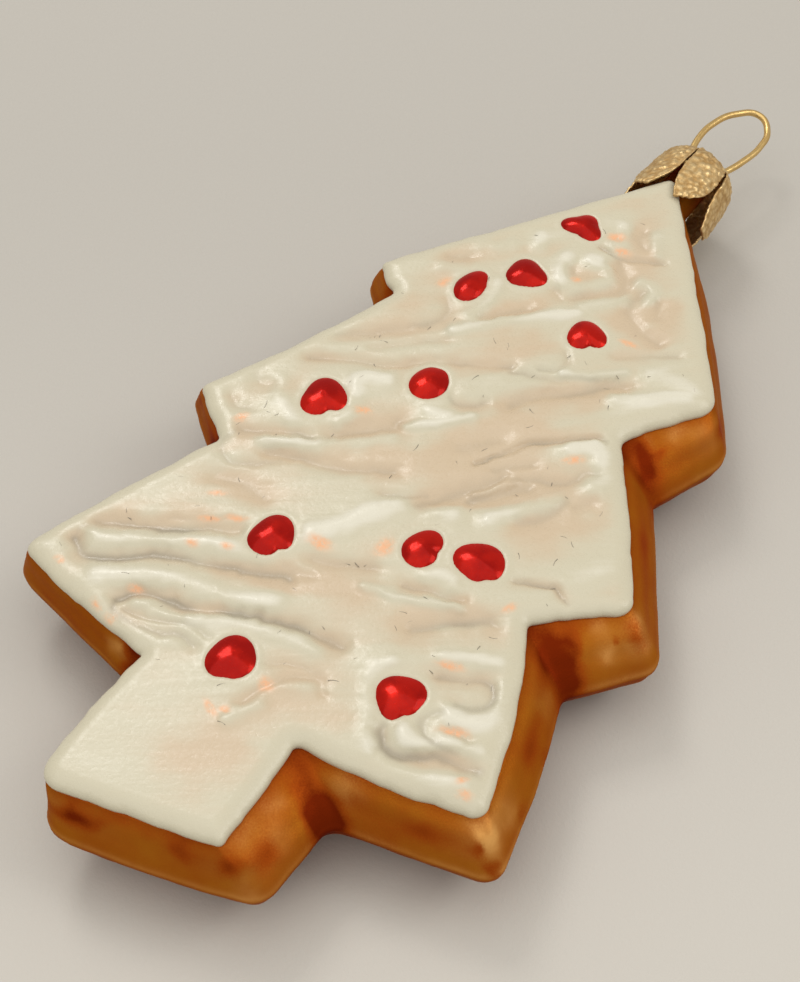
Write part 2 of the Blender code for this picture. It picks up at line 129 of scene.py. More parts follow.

# Brush marks: width in mm, depth as a share of the relief, greyness of the painted shade in the
# groove, then the points that the mark passes
GROOVES = [
    (0.95, 0.34, 0.9, [(-24.6, 23.6), (-22.5, 22.6), (-19.5, 24.2), (-17.0, 26.3), (-14.5, 27.8),
                       (-11.4, 29.0), (-8.6, 30.1), (-5.7, 31.4), (-3.5, 32.3)]),
    (0.9, 0.36, 1.0, [(-16.2, 20.3), (-14.6, 22.3), (-12.1, 23.0), (-10.0, 23.5), (-7.9, 24.3),
                      (-5.0, 25.7), (-2.1, 26.9), (0.7, 27.8), (5.7, 28.6)]),
    (0.7, 0.22, 1.0, [(-16.2, 20.3), (-15.7, 19.1), (-13.9, 18.7), (-10.7, 19.2), (-8.6, 20.3),
                      (-6.4, 20.4)]),
    (0.5, 0.16, 0.8, [(-14.6, 19.7), (-12.1, 20.1), (-10.7, 20.6), (-8.6, 21.6), (-5.7, 21.9)]),
    (0.9, 0.34, 0.9, [(-24.1, 26.5), (-21.4, 28.1), (-18.6, 29.4), (-16.4, 30.6), (-14.3, 32.4),
                      (-12.1, 33.5), (-11.3, 34.2)]),
    (0.4, 0.14, 0.5, [(-24.6, 23.6), (-24.9, 24.9), (-24.1, 26.4)]),
    (0.4, 0.12, 0.2, [(-18.2, 31.0), (-15.0, 33.1), (-12.5, 34.9)]),
    (0.9, 0.28, 0.3, [(-19.3, 44.9), (-17.5, 45.8), (-15.7, 47.1), (-13.9, 48.0), (-12.5, 48.3)]),
    (1.1, 0.34, 0.2, [(-11.0, 49.7), (-8.6, 52.1), (-6.4, 54.2), (-6.0, 55.5)]),
    (0.8, 0.3, 0.4, [(-15.0, 44.0), (-12.1, 45.3), (-10.0, 45.8), (-7.9, 46.4), (-5.0, 48.1),
                     (-2.5, 49.6)]),
    (0.7, 0.16, 0.5, [(-19.6, 45.3), (-20.0, 42.8), (-19.3, 41.4), (-17.5, 40.8), (-15.7, 41.7),
                      (-14.3, 43.1), (-13.2, 44.2)]),
    (1.4, 0.2, 0.1, [(-17.5, 38.5), (-15.0, 39.2), (-11.8, 39.0)]),
    (1.1, 0.36, 0.1, [(2.3, 47.3), (3.4, 49.2), (4.6, 51.0), (6.1, 53.1), (7.3, 55.5)]),
    (0.9, 0.32, 0.2, [(6.1, 51.0), (7.9, 52.8), (9.3, 54.6), (10.4, 56.0)]),
    (1.1, 0.24, 0.2, [(12.1, 51.4), (13.2, 52.4), (14.3, 54.2), (14.8, 56.4)]),
    (0.6, 0.2, 0.5, [(-1.8, 46.4), (0.4, 47.4), (2.1, 48.7)]),
    (0.8, 0.22, 0.4, [(-2.9, 35.5), (-0.4, 36.4), (1.8, 37.6), (2.9, 38.2)]),
    (0.9, 0.36, 0.6, [(10.4, 34.2), (12.1, 36.0), (13.6, 37.4), (15.0, 38.5), (16.6, 39.4)]),
    (0.6, 0.26, 0.3, [(6.8, 38.1), (8.9, 38.9), (11.1, 39.4), (12.6, 39.9)]),
    (0.45, 0.3, 0.9, [(15.7, 45.0), (17.5, 45.6), (19.3, 46.4), (21.4, 45.7)]),
    (0.8, 0.24, 0.9, [(15.7, 31.0), (17.6, 32.0), (19.2, 32.9), (20.6, 33.0), (21.5, 32.0),
                      (21.3, 30.6), (20.0, 29.6), (18.9, 29.4)]),
    (1.0, 0.3, 1.0, [(14.3, 23.7), (14.6, 22.5), (15.7, 21.6), (17.5, 21.6), (19.3, 22.6),
                     (20.7, 23.7), (22.9, 24.1), (24.6, 24.4)]),
    (0.8, 0.2, 1.0, [(17.9, 27.6), (17.1, 26.2), (17.9, 25.0), (19.3, 24.6), (21.8, 24.8)]),
    (0.6, 0.2, 0.9, [(19.8, 26.4), (21.9, 26.6)]),
    (0.5, 0.18, 0.1, [(1.4, 17.6), (2.5, 20.9), (3.9, 22.8), (6.1, 24.1), (7.5, 23.0)]),
    (0.4, 0.1, 0.5, [(0.7, 22.6), (2.9, 23.9), (6.1, 24.7)]),
    (1.0, 0.42, 0.2, [(2.6, 64.4), (3.4, 66.1), (5.1, 67.8), (6.6, 69.0), (8.4, 70.8),
                      (9.8, 72.6), (11.4, 73.7)]),
    (0.7, 0.24, 0.3, [(0.1, 68.3), (2.6, 69.4), (5.1, 70.3), (6.9, 71.7), (8.7, 72.8)]),
    (0.7, 0.2, 0.3, [(8.4, 76.9), (10.5, 78.3), (12.3, 79.7), (14.1, 80.8)]),
    (0.42, 0.34, 0.6, [(14.1, 65.6), (12.6, 65.6), (10.9, 64.0), (9.1, 62.4), (7.3, 61.0),
                       (6.2, 59.0), (5.1, 57.2), (4.1, 55.4)]),
    (0.5, 0.2, 0.5, [(3.7, 74.4), (4.6, 72.9), (4.1, 71.5), (2.6, 70.4)]),
    (0.8, 0.26, 0.3, [(-7.0, 73.3), (-5.6, 75.1), (-4.1, 76.9), (-3.4, 77.5)]),
    (1.0, 0.24, 0.3, [(-11.6, 73.6), (-10.6, 71.9), (-10.8, 70.1), (-12.0, 68.6), (-13.4, 66.9),
                      (-15.2, 65.1), (-17.0, 63.3), (-18.8, 61.9)]),
    (0.8, 0.28, 0.4, [(-19.4, 57.6), (-17.0, 59.0), (-14.9, 60.1), (-12.7, 60.8), (-10.9, 61.9),
                      (-9.1, 63.6), (-7.0, 65.1), (-4.1, 66.9), (-2.0, 67.9), (-0.2, 69.0)]),
    (0.6, 0.16, 0.2, [(-14.5, 62.7), (-12.6, 64.4), (-10.6, 66.3), (-8.3, 68.0)]),
    (0.8, 0.2, 0.6, [(-4.1, 61.9), (-2.4, 61.1), (-0.6, 62.0), (0.1, 62.9)]),
    (0.9, 0.26, 0.3, [(8.7, 55.8), (10.5, 57.2), (12.3, 57.7), (13.7, 59.0), (14.4, 60.8),
                      (15.5, 61.3)]),
    (0.8, 0.22, 0.2, [(6.2, 55.6), (7.6, 57.2), (9.2, 58.6)]),
    (1.4, 0.18, 0.1, [(1.6, 56.1), (3.4, 58.3), (4.4, 59.4)]),
    (0.9, 0.2, 0.2, [(15.9, 56.3), (17.0, 57.8)]),
    (0.9, 0.22, 0.2, [(-15.2, 79.2), (-13.4, 80.4)]),
    (0.4, 0.24, 0.6, [(-1.6, 90.6), (0.2, 90.2), (1.4, 90.3), (2.9, 91.0), (4.6, 91.8),
                      (5.7, 92.3)]),
    (1.1, 0.26, 0.2, [(1.4, 89.8), (3.2, 88.0), (3.9, 86.2), (2.9, 84.8), (1.4, 83.4),
                      (0.0, 81.9)]),
    (0.9, 0.26, 0.2, [(5.9, 87.0), (5.9, 85.4), (6.4, 83.4), (8.6, 81.9), (10.0, 81.6),
                      (11.4, 81.3)]),
    (0.7, 0.2, 0.2, [(8.6, 86.6), (9.3, 84.8)]),
    (0.8, 0.2, 0.1, [(1.2, 95.4), (1.8, 93.9), (2.9, 93.2)]),
    (0.6, 0.2, 0.3, [(-2.5, 81.6), (-1.1, 80.9)]),
    (0.7, 0.18, 0.2, [(-2.6, 85.9), (-2.0, 85.2)]),
    (0.8, 0.14, 0.2, [(-20.6, 51.8), (-22.3, 51.6), (-23.2, 53.4)]),
    (0.7, 0.14, 0.2, [(-23.4, 48.2), (-21.8, 47.2), (-20.4, 47.9)]),
    (0.6, 0.14, 0.3, [(-4.8, 33.0), (-1.8, 33.6)]),
]
# Crests: width, rise, then the points they pass; raised, and whitened as painted highlight
CRESTS = [
    (1.0, 0.2, [(-23.4, 25.2), (-20.5, 26.3), (-17.5, 28.4), (-14.5, 30.4), (-11.5, 31.7),
                (-8.7, 33.0)]),
    (1.0, 0.18, [(-20.0, 21.6), (-15.9, 23.6), (-12.9, 25.0), (-7.1, 26.6), (-3.0, 28.6)]),
    (0.9, 0.2, [(-8.6, 22.5), (-5.0, 24.8), (0.0, 26.2), (4.0, 26.8)]),
    (1.0, 0.24, [(-5.0, 38.1), (-2.9, 40.6), (-1.4, 43.5), (0.7, 46.0), (2.9, 47.2), (5.7, 48.3)]),
    (0.5, 0.18, [(3.6, 35.6), (7.1, 36.5), (10.4, 37.8), (12.9, 38.9)]),
    (0.8, 0.2, [(7.8, 40.6), (8.8, 41.2), (10.4, 41.5)]),
    (0.9, 0.24, [(9.3, 49.9), (11.1, 52.1), (12.9, 54.2), (13.9, 56.2)]),
    (0.4, 0.2, [(6.4, 52.0), (7.9, 54.1), (8.9, 55.8)]),
    (1.0, 0.16, [(-19.6, 52.4), (-18.4, 50.8), (-15.9, 49.4)]),
    (0.8, 0.18, [(-11.9, 54.9), (-11.0, 53.1), (-11.0, 51.4)]),
    (0.8, 0.2, [(-16.2, 44.9), (-13.6, 46.6), (-11.4, 47.8), (-8.6, 50.4), (-5.4, 53.2)]),
    (0.7, 0.26, [(-8.4, 69.7), (-5.6, 72.9), (-2.7, 75.8), (-0.2, 78.3), (1.8, 79.6)]),
    (0.8, 0.18, [(-11.7, 79.2), (-13.0, 78.2), (-14.7, 77.4)]),
    (0.7, 0.16, [(-8.4, 79.0), (-8.0, 77.4), (-7.6, 75.4), (-7.9, 72.6)]),
    (0.5, 0.2, [(5.1, 71.3), (7.3, 72.4), (9.1, 74.0), (10.6, 75.3)]),
    (0.8, 0.24, [(11.9, 71.5), (14.1, 72.9), (15.9, 74.4), (18.0, 75.8)]),
    (1.0, 0.14, [(13.7, 76.5), (15.9, 77.2), (18.4, 77.2)]),
    (1.2, 0.22, [(11.6, 62.6), (13.0, 63.8), (14.6, 63.6), (15.6, 61.9), (16.4, 59.6)]),
    (0.5, 0.2, [(-4.9, 55.4), (-2.7, 57.2), (-1.3, 58.6), (0.2, 60.4)]),
    (0.8, 0.22, [(-10.2, 59.6), (-12.4, 58.6), (-12.9, 57.2), (-12.0, 55.6)]),
    (0.8, 0.18, [(-3.6, 60.9), (-4.5, 59.5), (-3.9, 58.7), (-2.0, 59.0)]),
    (0.8, 0.22, [(-3.8, 86.6), (-3.4, 84.4), (-2.1, 83.0), (-0.4, 83.4), (1.2, 84.8), (2.1, 86.4),
                 (0.9, 87.6), (-1.4, 87.9)]),
    (0.8, 0.18, [(5.2, 88.0), (6.8, 87.9), (7.4, 86.4)]),
    (0.8, 0.16, [(-8.2, 88.0), (-7.6, 86.6)]),
    (0.9, 0.18, [(1.6, 81.4), (3.3, 83.0), (5.0, 84.8)]),
    (0.9, 0.14, [(-13.9, 83.0), (-11.8, 83.8), (-10.4, 85.0)]),
    (0.6, 0.14, [(-0.7, 91.4), (0.4, 92.2), (0.1, 93.6), (-1.0, 95.0)]),
    (0.6, 0.16, [(4.5, 92.8), (3.8, 94.2), (2.9, 95.6)]),
    (0.7, 0.16, [(11.0, 29.6), (10.3, 27.8), (11.3, 25.6), (12.7, 23.9), (13.6, 22.0),
                 (15.0, 20.4)]),
    (0.8, 0.14, [(16.4, 20.4), (19.1, 20.4), (21.9, 21.0), (24.4, 22.4)]),
    (0.7, 0.2, [(16.0, 24.2), (17.4, 23.3), (18.9, 23.9), (20.8, 25.4), (23.6, 26.3)]),
    (0.9, 0.18, [(19.0, 28.2), (21.4, 28.6), (22.8, 30.6), (22.4, 33.0)]),
    (0.7, 0.16, [(14.9, 33.2), (17.2, 34.6), (19.6, 35.6)]),
    (0.6, 0.14, [(-14.2, 21.2), (-11.8, 21.6), (-9.4, 22.3)]),
    (0.6, 0.16, [(1.8, 16.6), (3.2, 18.6), (1.6, 15.4)]),
]
# The points were read off at the level of the icing's edge. Its face is higher, and so nearer to
# the camera, by this much in plan.
FACE_SHIFT = (0.46, -0.66)
ROUTE_STEPS = 4
FULL_GROOVE = 0.34
FULL_CREST = 0.24
BRUSH_ANGLE = 36.0
BRISTLE_STRETCH = (0.09, 1.0, 0.4)
RIDGE_STRETCH = (0.12, 1.0, 0.3)
HAIR_RADIUS = 0.032

# Places where the brown shows through thin icing: x, y, half length, half width, turn, strength
THIN_PATCHES = [
    (2.9, 93.2, 2.4, 1.3, 115, 0.8), (-0.6, 91.9, 1.6, 1.0, 20, 0.3), (8.7, 82.9, 3.6, 2.0, 35, 0.7),
    (3.4, 86.4, 3.2, 1.6, 60, 0.5), (-1.8, 85.0, 1.4, 1.0, 30, 0.6), (-14.0, 79.2, 3.2, 1.6, 70, 0.6),
    (-1.9, 71.6, 3.8, 2.4, 20, 0.75), (-3.4, 76.4, 2.4, 1.0, 50, 0.6), (8.0, 64.6, 3.6, 2.4, 60, 0.6),
    (-11.8, 69.6, 3.2, 2.0, 60, 0.5), (4.0, 57.2, 4.6, 2.4, 55, 0.7), (12.4, 57.4, 3.6, 2.0, 35, 0.6),
    (16.4, 52.8, 4.0, 2.6, 60, 0.55), (0.6, 51.4, 4.6, 1.6, 40, 0.45), (-6.4, 48.4, 4.6, 1.2, 30, 0.5),
    (-17.0, 44.2, 3.4, 1.6, 40, 0.35), (-7.4, 53.0, 2.6, 1.4, 50, 0.65),
    (-14.4, 38.2, 3.6, 1.4, 10, 0.4),
    (-15.8, 68.0, 2.2, 1.2, 60, 0.4), (2.4, 32.6, 3.0, 1.6, 20, 0.45), (8.6, 30.4, 4.0, 2.2, 30, 0.4),
    (-9.4, 23.6, 4.0, 1.4, 25, 0.4), (5.4, 20.8, 3.4, 3.0, 40, 0.6), (3.6, 9.4, 3.8, 2.8, 30, 0.6),
    (2.6, 13.2, 2.6, 1.8, 40, 0.4), (12.0, 21.0, 1.6, 1.1, 10, 0.4), (-17.4, 31.6, 4.6, 0.9, 28, 0.5),
    (-3.0, 30.8, 5.0, 0.9, 28, 0.5), (-2.6, 98.0, 1.8, 1.2, 60, 0.35), (7.4, 53.0, 4.4, 1.6, 50, 0.6),
    (12.6, 37.2, 3.4, 1.2, 42, 0.5), (4.6, 42.2, 4.0, 1.0, 45, 0.3), (-5.4, 61.8, 3.0, 1.6, 40, 0.3),
    (-17.6, 52.6, 2.0, 1.6, 40, 0.4), (17.4, 36.4, 2.0, 1.0, 30, 0.3), (-9.6, 82.2, 3.6, 1.2, 48, 0.4),
]
PATCH_SPREAD = 1.35
# Peach dabs on the icing: x, y, half length, half width, turn
PEACH_DABS = [
    (-13.6, 29.2, 0.7, 0.4, 20), (-11.9, 34.5, 1.2, 0.35, 30), (-14.2, 32.9, 1.2, 0.3, 32),
    (-14.9, 21.7, 0.8, 0.4, 20), (-23.6, 19.9, 0.4, 0.5, 70), (-10.4, 30.9, 0.6, 0.4, 20),
    (-2.9, 36.7, 1.3, 0.7, 10), (2.9, 40.1, 0.8, 1.2, 160), (2.8, 20.1, 0.7, 0.9, 60),
    (0.0, 14.9, 1.1, 0.45, 150), (1.4, 15.5, 0.6, 0.4, 20), (-14.7, 17.4, 0.5, 0.5, 0),
    (-16.9, 17.9, 0.8, 0.3, 150), (-0.4, 92.0, 1.2, 0.7, 20), (1.4, 90.5, 0.9, 0.55, 10),
    (-0.7, 83.6, 0.6, 0.5, 30), (9.3, 78.6, 1.2, 0.35, 12), (-9.6, 53.8, 0.9, 0.6, 30),
    (25.5, 20.9, 0.7, 0.5, 30), (24.4, 22.0, 0.4, 0.7, 150), (16.4, 32.0, 1.3, 0.4, 20),
    (20.8, 26.0, 1.5, 0.5, 20), (17.6, 41.0, 0.8, 0.4, 60), (-19.8, 45.6, 0.5, 0.8, 150),
    (-12.9, 74.8, 1.0, 0.6, 60), (12.9, 60.8, 1.1, 0.5, 40), (-15.6, 36.0, 1.0, 0.3, 30),
]

# The icing's lip: distance in from its edge, and height above it. The first rings are tucked under.
TUCKED_RINGS = 5
ICING_LIP = [
    (0.0, -0.55), (-0.1, -0.35), (-0.16, -0.15), (-0.16, 0.05), (-0.1, 0.25), (0.04, 0.43),
    (0.28, 0.61), (0.6, 0.78), (1.0, 0.92), (1.5, 1.02),
]

# Candies, as in the part's source, then where a notch cuts the outline: x, y, width, length, turn,
# share of triangle, notch's direction and depth
CANDIES = [
    (-4.5, 91.5, 4.9, 3.7, 0.0, 0.17, -90.0, 0.0),
    (-10.1, 76.0, 3.4, 5.3, -12.0, 0.03, 52.0, 0.1),
    (-5.9, 81.2, 4.8, 4.3, -90.0, 0.10, -20.0, 0.05),
    (4.8, 76.9, 4.5, 4.3, 35.0, 0.07, -45.0, 0.26),
    (-14.1, 52.9, 4.9, 5.5, 160.0, 0.08, -38.0, 0.2),
    (-5.8, 61.1, 4.2, 5.0, 5.0, 0.02, 100.0, 0.04),
    (-7.5, 34.7, 4.6, 5.5, 20.0, 0.05, -33.0, 0.22),
    (6.2, 42.2, 4.0, 5.1, -10.0, 0.04, 15.0, 0.12),
    (12.0, 44.1, 5.6, 4.8, -15.0, 0.05, -42.0, 0.17),
    (-1.8, 20.5, 4.9, 5.4, 25.0, 0.05, -70.0, 0.08),
    (14.4, 26.3, 4.9, 5.2, 200.0, 0.07, -48.0, 0.16),
]
CANDY_BASE_Z = 12.55
CANDY_FOOT = 0.4
CANDY_SEAT = 0.98
NOTCH_SPREAD = 0.3
CANDY_SIDES = 56
CANDY_RINGS = 18

# Cap, as in the part's source. Petals: direction of the middle, half angle, how far it flares, and
# how much further back one side of its end reaches
CAP_TOP_Y = 112.4
CROWN_R = 3.0
PETALS = [
    (5.5, 29.5, 0.6, 0.3), (62.8, 27.7, 0.3, 0.8), (125.2, 34.8, 0.0, -0.2),
    (189.3, 29.3, 0.0, 0.0), (248.0, 29.3, 0.0, 0.0), (306.7, 29.3, 0.2, 0.0),
]
# Down each petal: radius, y and share of its half angle
PETAL_ROWS = [
    (3.0, 112.4, 1.0), (3.9, 112.0, 0.95), (4.6, 111.1, 0.93), (4.95, 109.4, 0.92),
    (5.15, 107.0, 0.9), (5.3, 104.7, 0.74), (5.4, 102.5, 0.33),
]
PETAL_COLUMNS = 30
STEPS_PER_ROW = 9
SHEET_LIFT = 0.2
NECK_R = 2.6
NECK_START_Y = 101.0
NECK_END_Y = 110.4

# Wire loop, as in the part's source
LOOP_ROLL = math.radians(-15.0)
LOOP_X = -0.3
LOOP_ROUTE = [
    (-1.8, 110.9), (-1.85, 112.6), (-2.6, 117.4), (-2.4, 120.5), (-1.0, 124.2), (1.5, 126.35),
    (3.5, 124.9), (4.1, 121.8), (3.6, 118.0), (2.25, 112.6), (2.2, 110.9),
]
WIRE_HOLE_R = 0.74
HOLE_SIDES = 16


# Settings

def length_setting(name, description, default, low=0.0):
    return FloatProperty(
        name=name, description=description, default=default, min=low, subtype="DISTANCE",
        unit="LENGTH", precision=5,
    )


def colour_setting(name, description, default):
    return FloatVectorProperty(
        name=name, description=description, default=default, size=3, min=0.0, max=1.0,
        subtype="COLOR",
    )


def power_setting(name, description, default):
    return FloatProperty(name=name, description=description, default=default, unit="POWER")


class GlassSettings(bpy.types.PropertyGroup):
    seam_height: length_setting("Seam", "How far the mould seam stands out", 0.00016)
    wobble: length_setting("Wobble", "How uneven the blown wall is", 0.00016)
    golden: colour_setting("Golden brown", "Lacquer over most of the wall", (0.35, 0.11, 0.008))
    # Caramel also paints highlights on the seam, corners and shoulders; rust and burnt also paint
    # shade in the notches, at the foot, under the icing's edge and on the up-facing shoulders
    caramel_and_highlight: colour_setting("Caramel", "Thin lacquer on the seam and corners", (0.7, 0.35, 0.1))
    rust_and_shade: colour_setting("Rust", "Thick lacquer near the notches", (0.3, 0.056, 0.005))
    burnt_and_shade: colour_setting("Burnt", "Darkest marks", (0.15, 0.015, 0.002))


class IcingSettings(bpy.types.PropertyGroup):
    point_spacing: length_setting("Point spacing", "Fineness of the icing's mesh", 0.00027, 0.0001)
    relief: length_setting("Relief", "Depth of a full brush mark", 0.0017)
    ridge_height: length_setting("Ridge height", "Height of the fine bristle ridges", 0.00006)
    ridge_spacing: length_setting("Ridge spacing", "Distance between fine ridges", 0.0013)
    cream: colour_setting("Cream", "Icing over most of the face", (0.58, 0.535, 0.395))
    # White also paints highlights on the ridges and in bright streaks
    white_and_highlight: colour_setting("White", "Thick icing on the ridges", (0.695, 0.66, 0.54))
    beige: colour_setting("Beige", "Thin icing that the brown shows through", (0.58, 0.46, 0.315))
    grey: colour_setting("Grey", "Shaded brush marks", (0.27, 0.23, 0.165))
    peach: colour_setting("Peach", "Small dabs", (0.80, 0.42, 0.22))
    hair_count: IntProperty(name="Hairs", description="Fine grey hairs", default=150, min=0)
    hair_length: length_setting("Hair length", "Length of one hair", 0.0009)
    hair_colour: colour_setting("Hair grey", "Colour of the fine hairs", (0.16, 0.14, 0.11))
    seed: IntProperty(name="Seed", description="Changes where the hairs fall", default=7, min=0)


class CandySettings(bpy.types.PropertyGroup):
    height: length_setting("Height", "Height of a candy above its base", 0.00108)
    red: colour_setting("Red", "Enamel of the candies", (0.47, 0.011, 0.006))
    deep_red: colour_setting("Deep red", "Thicker enamel", (0.29, 0.005, 0.004))


class CapSettings(bpy.types.PropertyGroup):
    sheet: length_setting("Sheet", "Thickness of the cap's sheet", 0.00026, 0.0001)
    grain_height: length_setting("Grain height", "Depth of the embossing", 0.0002)
    grain_size: length_setting("Grain size", "Size of one embossed grain", 0.00085, 0.0002)
    gold: colour_setting("Gold", "Gilt on raised parts", (0.88, 0.66, 0.34))
    dull_gold: colour_setting("Dull gold", "Gilt in the hollows", (0.5, 0.31, 0.12))


class LoopSettings(bpy.types.PropertyGroup):
    diameter: length_setting("Wire", "Diameter of the wire", 0.00084, 0.0002)
    gold: colour_setting("Gold", "Gilt of the wire", (0.72, 0.5, 0.2))
    dull_gold: colour_setting("Dull gold", "Worn parts of the wire", (0.44, 0.27, 0.09))


class StageSettings(bpy.types.PropertyGroup):
    floor_colour: colour_setting("Floor", "Plain pale floor", (0.57, 0.54, 0.485))
    top_power: power_setting("Top light", "Power of the large softbox above", 7.8)
    key_power: power_setting("Key light", "Power of the softbox on the tree's right", 0.8)
    window_power: power_setting("Window", "Power of the small light on the tree's left", 0.9)
    surround: FloatProperty(name="Surround", description="Light from all round", default=0.52)
    lens: FloatProperty(name="Lens", description="Focal length in millimetres", default=69.65)


class OrnamentSettings(bpy.types.PropertyGroup):
    glass: PointerProperty(type=GlassSettings)
    icing: PointerProperty(type=IcingSettings)
    candies: PointerProperty(type=CandySettings)
    cap: PointerProperty(type=CapSettings)
    loop: PointerProperty(type=LoopSettings)
    stage: PointerProperty(type=StageSettings)


# Mesh helpers

def to_frame(points):
    shifted = np.asarray(points, float) - (PLAN_CENTRE_X, PLAN_CENTRE_Y, 0.0)
    return shifted * MM


def new_mesh(name, points, faces):
    """A mesh in metres from points in plan millimetres, with its faces turned outwards."""
    mesh = bpy.data.meshes.new(name)
    mesh.from_pydata(to_frame(points).tolist(), [], [list(map(int, face)) for face in faces])
    bm = bmesh.new()
    bm.from_mesh(mesh)
    bmesh.ops.recalc_face_normals(bm, faces=bm.faces)
    bm.to_mesh(mesh)
    bm.free()
    mesh.shade_smooth()
    return mesh


def store_mask(mesh, name, values):
    layer = mesh.attributes.new(name, "FLOAT", "POINT")
    layer.data.foreach_set("value", np.ascontiguousarray(values, np.float32))


def show(name, mesh, material=None):
    obj = bpy.data.objects.new(name, mesh)
    bpy.context.scene.collection.objects.link(obj)
    if material:
        mesh.materials.clear()
        mesh.materials.append(material)
    return obj


def settle(obj, name, slot, *nodes):
    """Turn what the modifiers give into a plain mesh and hand the piece to the frame."""
    depsgraph = bpy.context.evaluated_depsgraph_get()
    mesh = bpy.data.meshes.new_from_object(obj.evaluated_get(depsgraph))
    mesh.name = name
    bpy.data.objects.remove(obj)
    piece = bpy.data.objects.new(name, mesh)
    bpy.context.scene.collection.objects.link(piece)
    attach(piece, BODY)
    if nodes:
        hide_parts(*nodes)
    return piece


def ring_faces(start, count, rings):
    """Quads between rings of points that follow one another."""
    faces = []
    for ring in range(rings - 1):
        low = start + ring * count
        high = low + count
        for i in range(count):
            j = (i + 1) % count
            faces.append((low + i, low + j, high + j, high + i))
    return faces


def lattice_noise(u, v, seed, size=64):
    """Smooth noise from -1 to 1 on arrays of places."""
    table = np.random.default_rng(seed).uniform(-1.0, 1.0, (size, size))
    low_u = np.floor(u).astype(int)
    low_v = np.floor(v).astype(int)
    share_u = u - low_u
    share_v = v - low_v
    share_u = share_u * share_u * (3 - 2 * share_u)
    share_v = share_v * share_v * (3 - 2 * share_v)
    a = table[low_u % size, low_v % size]
    b = table[(low_u + 1) % size, low_v % size]
    c = table[low_u % size, (low_v + 1) % size]
    d = table[(low_u + 1) % size, (low_v + 1) % size]
    return (a + (b - a) * share_u) * (1 - share_v) + (c + (d - c) * share_u) * share_v


def smooth_route(points, steps):
    """A smooth line through the points, with that many steps from each to the next."""
    points = np.asarray(points, float)
    padded = np.vstack([2 * points[0] - points[1], points, 2 * points[-1] - points[-2]])
    line = []
    for i in range(1, len(points)):
        before, start, end, after = padded[i - 1:i + 3]
        for step in range(steps):
            t = step / steps
            line.append(
                start + 0.5 * t * (end - before + t * (2 * before - 5 * start + 4 * end - after
                + t * (3 * (start - end) + after - before)))
            )
    line.append(points[-1])
    return np.array(line)


def line_distance(points, line):
    """Distance from each point to a line of straight steps."""
    nearest = np.full(len(points), np.inf)
    for a, b in zip(line, line[1:]):
        step = b - a
        share = np.clip((points - a) @ step / (step @ step), 0.0, 1.0)
        gap = points - a - share[:, None] * step
        nearest = np.minimum(nearest, np.hypot(gap[:, 0], gap[:, 1]))
    return nearest


# Outlines

def blend(first, second, share):
    return [tuple(a + (b - a) * share for a, b in zip(p, q)) for p, q in zip(first, second)]


def inset(corners, distance):
    """Move every side of a counterclockwise outline in by the distance."""
    moved = []
    count = len(corners)
    for i, (x, y, radius, bow) in enumerate(corners):
        here = Vector((x, y))
        back = (here - Vector(corners[i - 1][:2])).normalized()
        ahead = (Vector(corners[(i + 1) % count][:2]) - here).normalized()
        bisector = Vector((-back.y - ahead.y, back.x + ahead.x)).normalized()
        reach = distance / bisector.dot(Vector((-back.y, back.x)))
        turns_left = back.cross(ahead) > 0
        change = -distance if turns_left else distance
        corner = here + bisector * reach
        moved.append((corner.x, corner.y, max(radius + change, 0.5), bow))
    return moved


def rounded(corners):
    """Points round an outline: an arc at each corner, then the side that follows it."""
    arcs = []
    count = len(corners)
    for i, (x, y, radius, _) in enumerate(corners):
        here = Vector((x, y))
        to_last = Vector(corners[i - 1][:2]) - here
        to_next = Vector(corners[(i + 1) % count][:2]) - here
        half_angle = to_last.angle(to_next) / 2
        reach = min(radius / math.tan(half_angle), 0.45 * to_last.length, 0.45 * to_next.length)
        start = here + to_last.normalized() * reach
        end = here + to_next.normalized() * reach
        arc = []
        for step in range(ARC_STEPS + 1):
            t = step / ARC_STEPS
            arc.append(start.lerp(here, t).lerp(here.lerp(end, t), t))
        arcs.append(arc)
    points = []
    for i, arc in enumerate(arcs):
        points += arc
        following = arcs[(i + 1) % count][0]
        side = following - arc[-1]
        outward = Vector((side.y, -side.x)).normalized() * corners[i][3]
        for step in range(1, SIDE_STEPS):
            t = step / SIDE_STEPS
            points.append(arc[-1] + side * t + outward * 4 * t * (1 - t))
    return np.array([(p.x, p.y) for p in points])


def outward_normals(outline):
    along = np.roll(outline, -1, axis=0) - np.roll(outline, 1, axis=0)
    normals = np.stack([along[:, 1], -along[:, 0]], axis=1)
    return normals / np.linalg.norm(normals, axis=1)[:, None]


def inside_distance(points, outline):
    """Distance from each point to a closed outline, negative outside it."""
    closed = np.vstack([outline, outline[:1]])
    distance = line_distance(points, closed)
    inside = np.zeros(len(points), bool)
    for a, b in zip(closed, closed[1:]):
        if a[1] != b[1]:
            spans = (a[1] > points[:, 1]) != (b[1] > points[:, 1])
            crossing = a[0] + (points[:, 1] - a[1]) * (b[0] - a[0]) / (b[1] - a[1])
            inside ^= spans & (points[:, 0] < crossing)
    return np.where(inside, distance, -distance)


def grid_inside(outline, spacing, clearance):
    """Staggered grid points inside an outline, and how far in each one lies."""
    low = outline.min(axis=0)
    high = outline.max(axis=0)
    columns = np.arange(low[0], high[0], spacing)
    points = []
    for row, y in enumerate(np.arange(low[1], high[1], spacing * math.sin(math.pi / 3))):
        shift = spacing / 2 if row % 2 else 0.0
        points.append(np.stack([columns + shift, np.full(len(columns), y)], axis=1))
    points = np.vstack(points)
    distance = inside_distance(points, outline)
    keep = distance > clearance
    return points[keep], distance[keep]


def ring_edges(start, count):
    return [(start + i, start + (i + 1) % count) for i in range(count)]


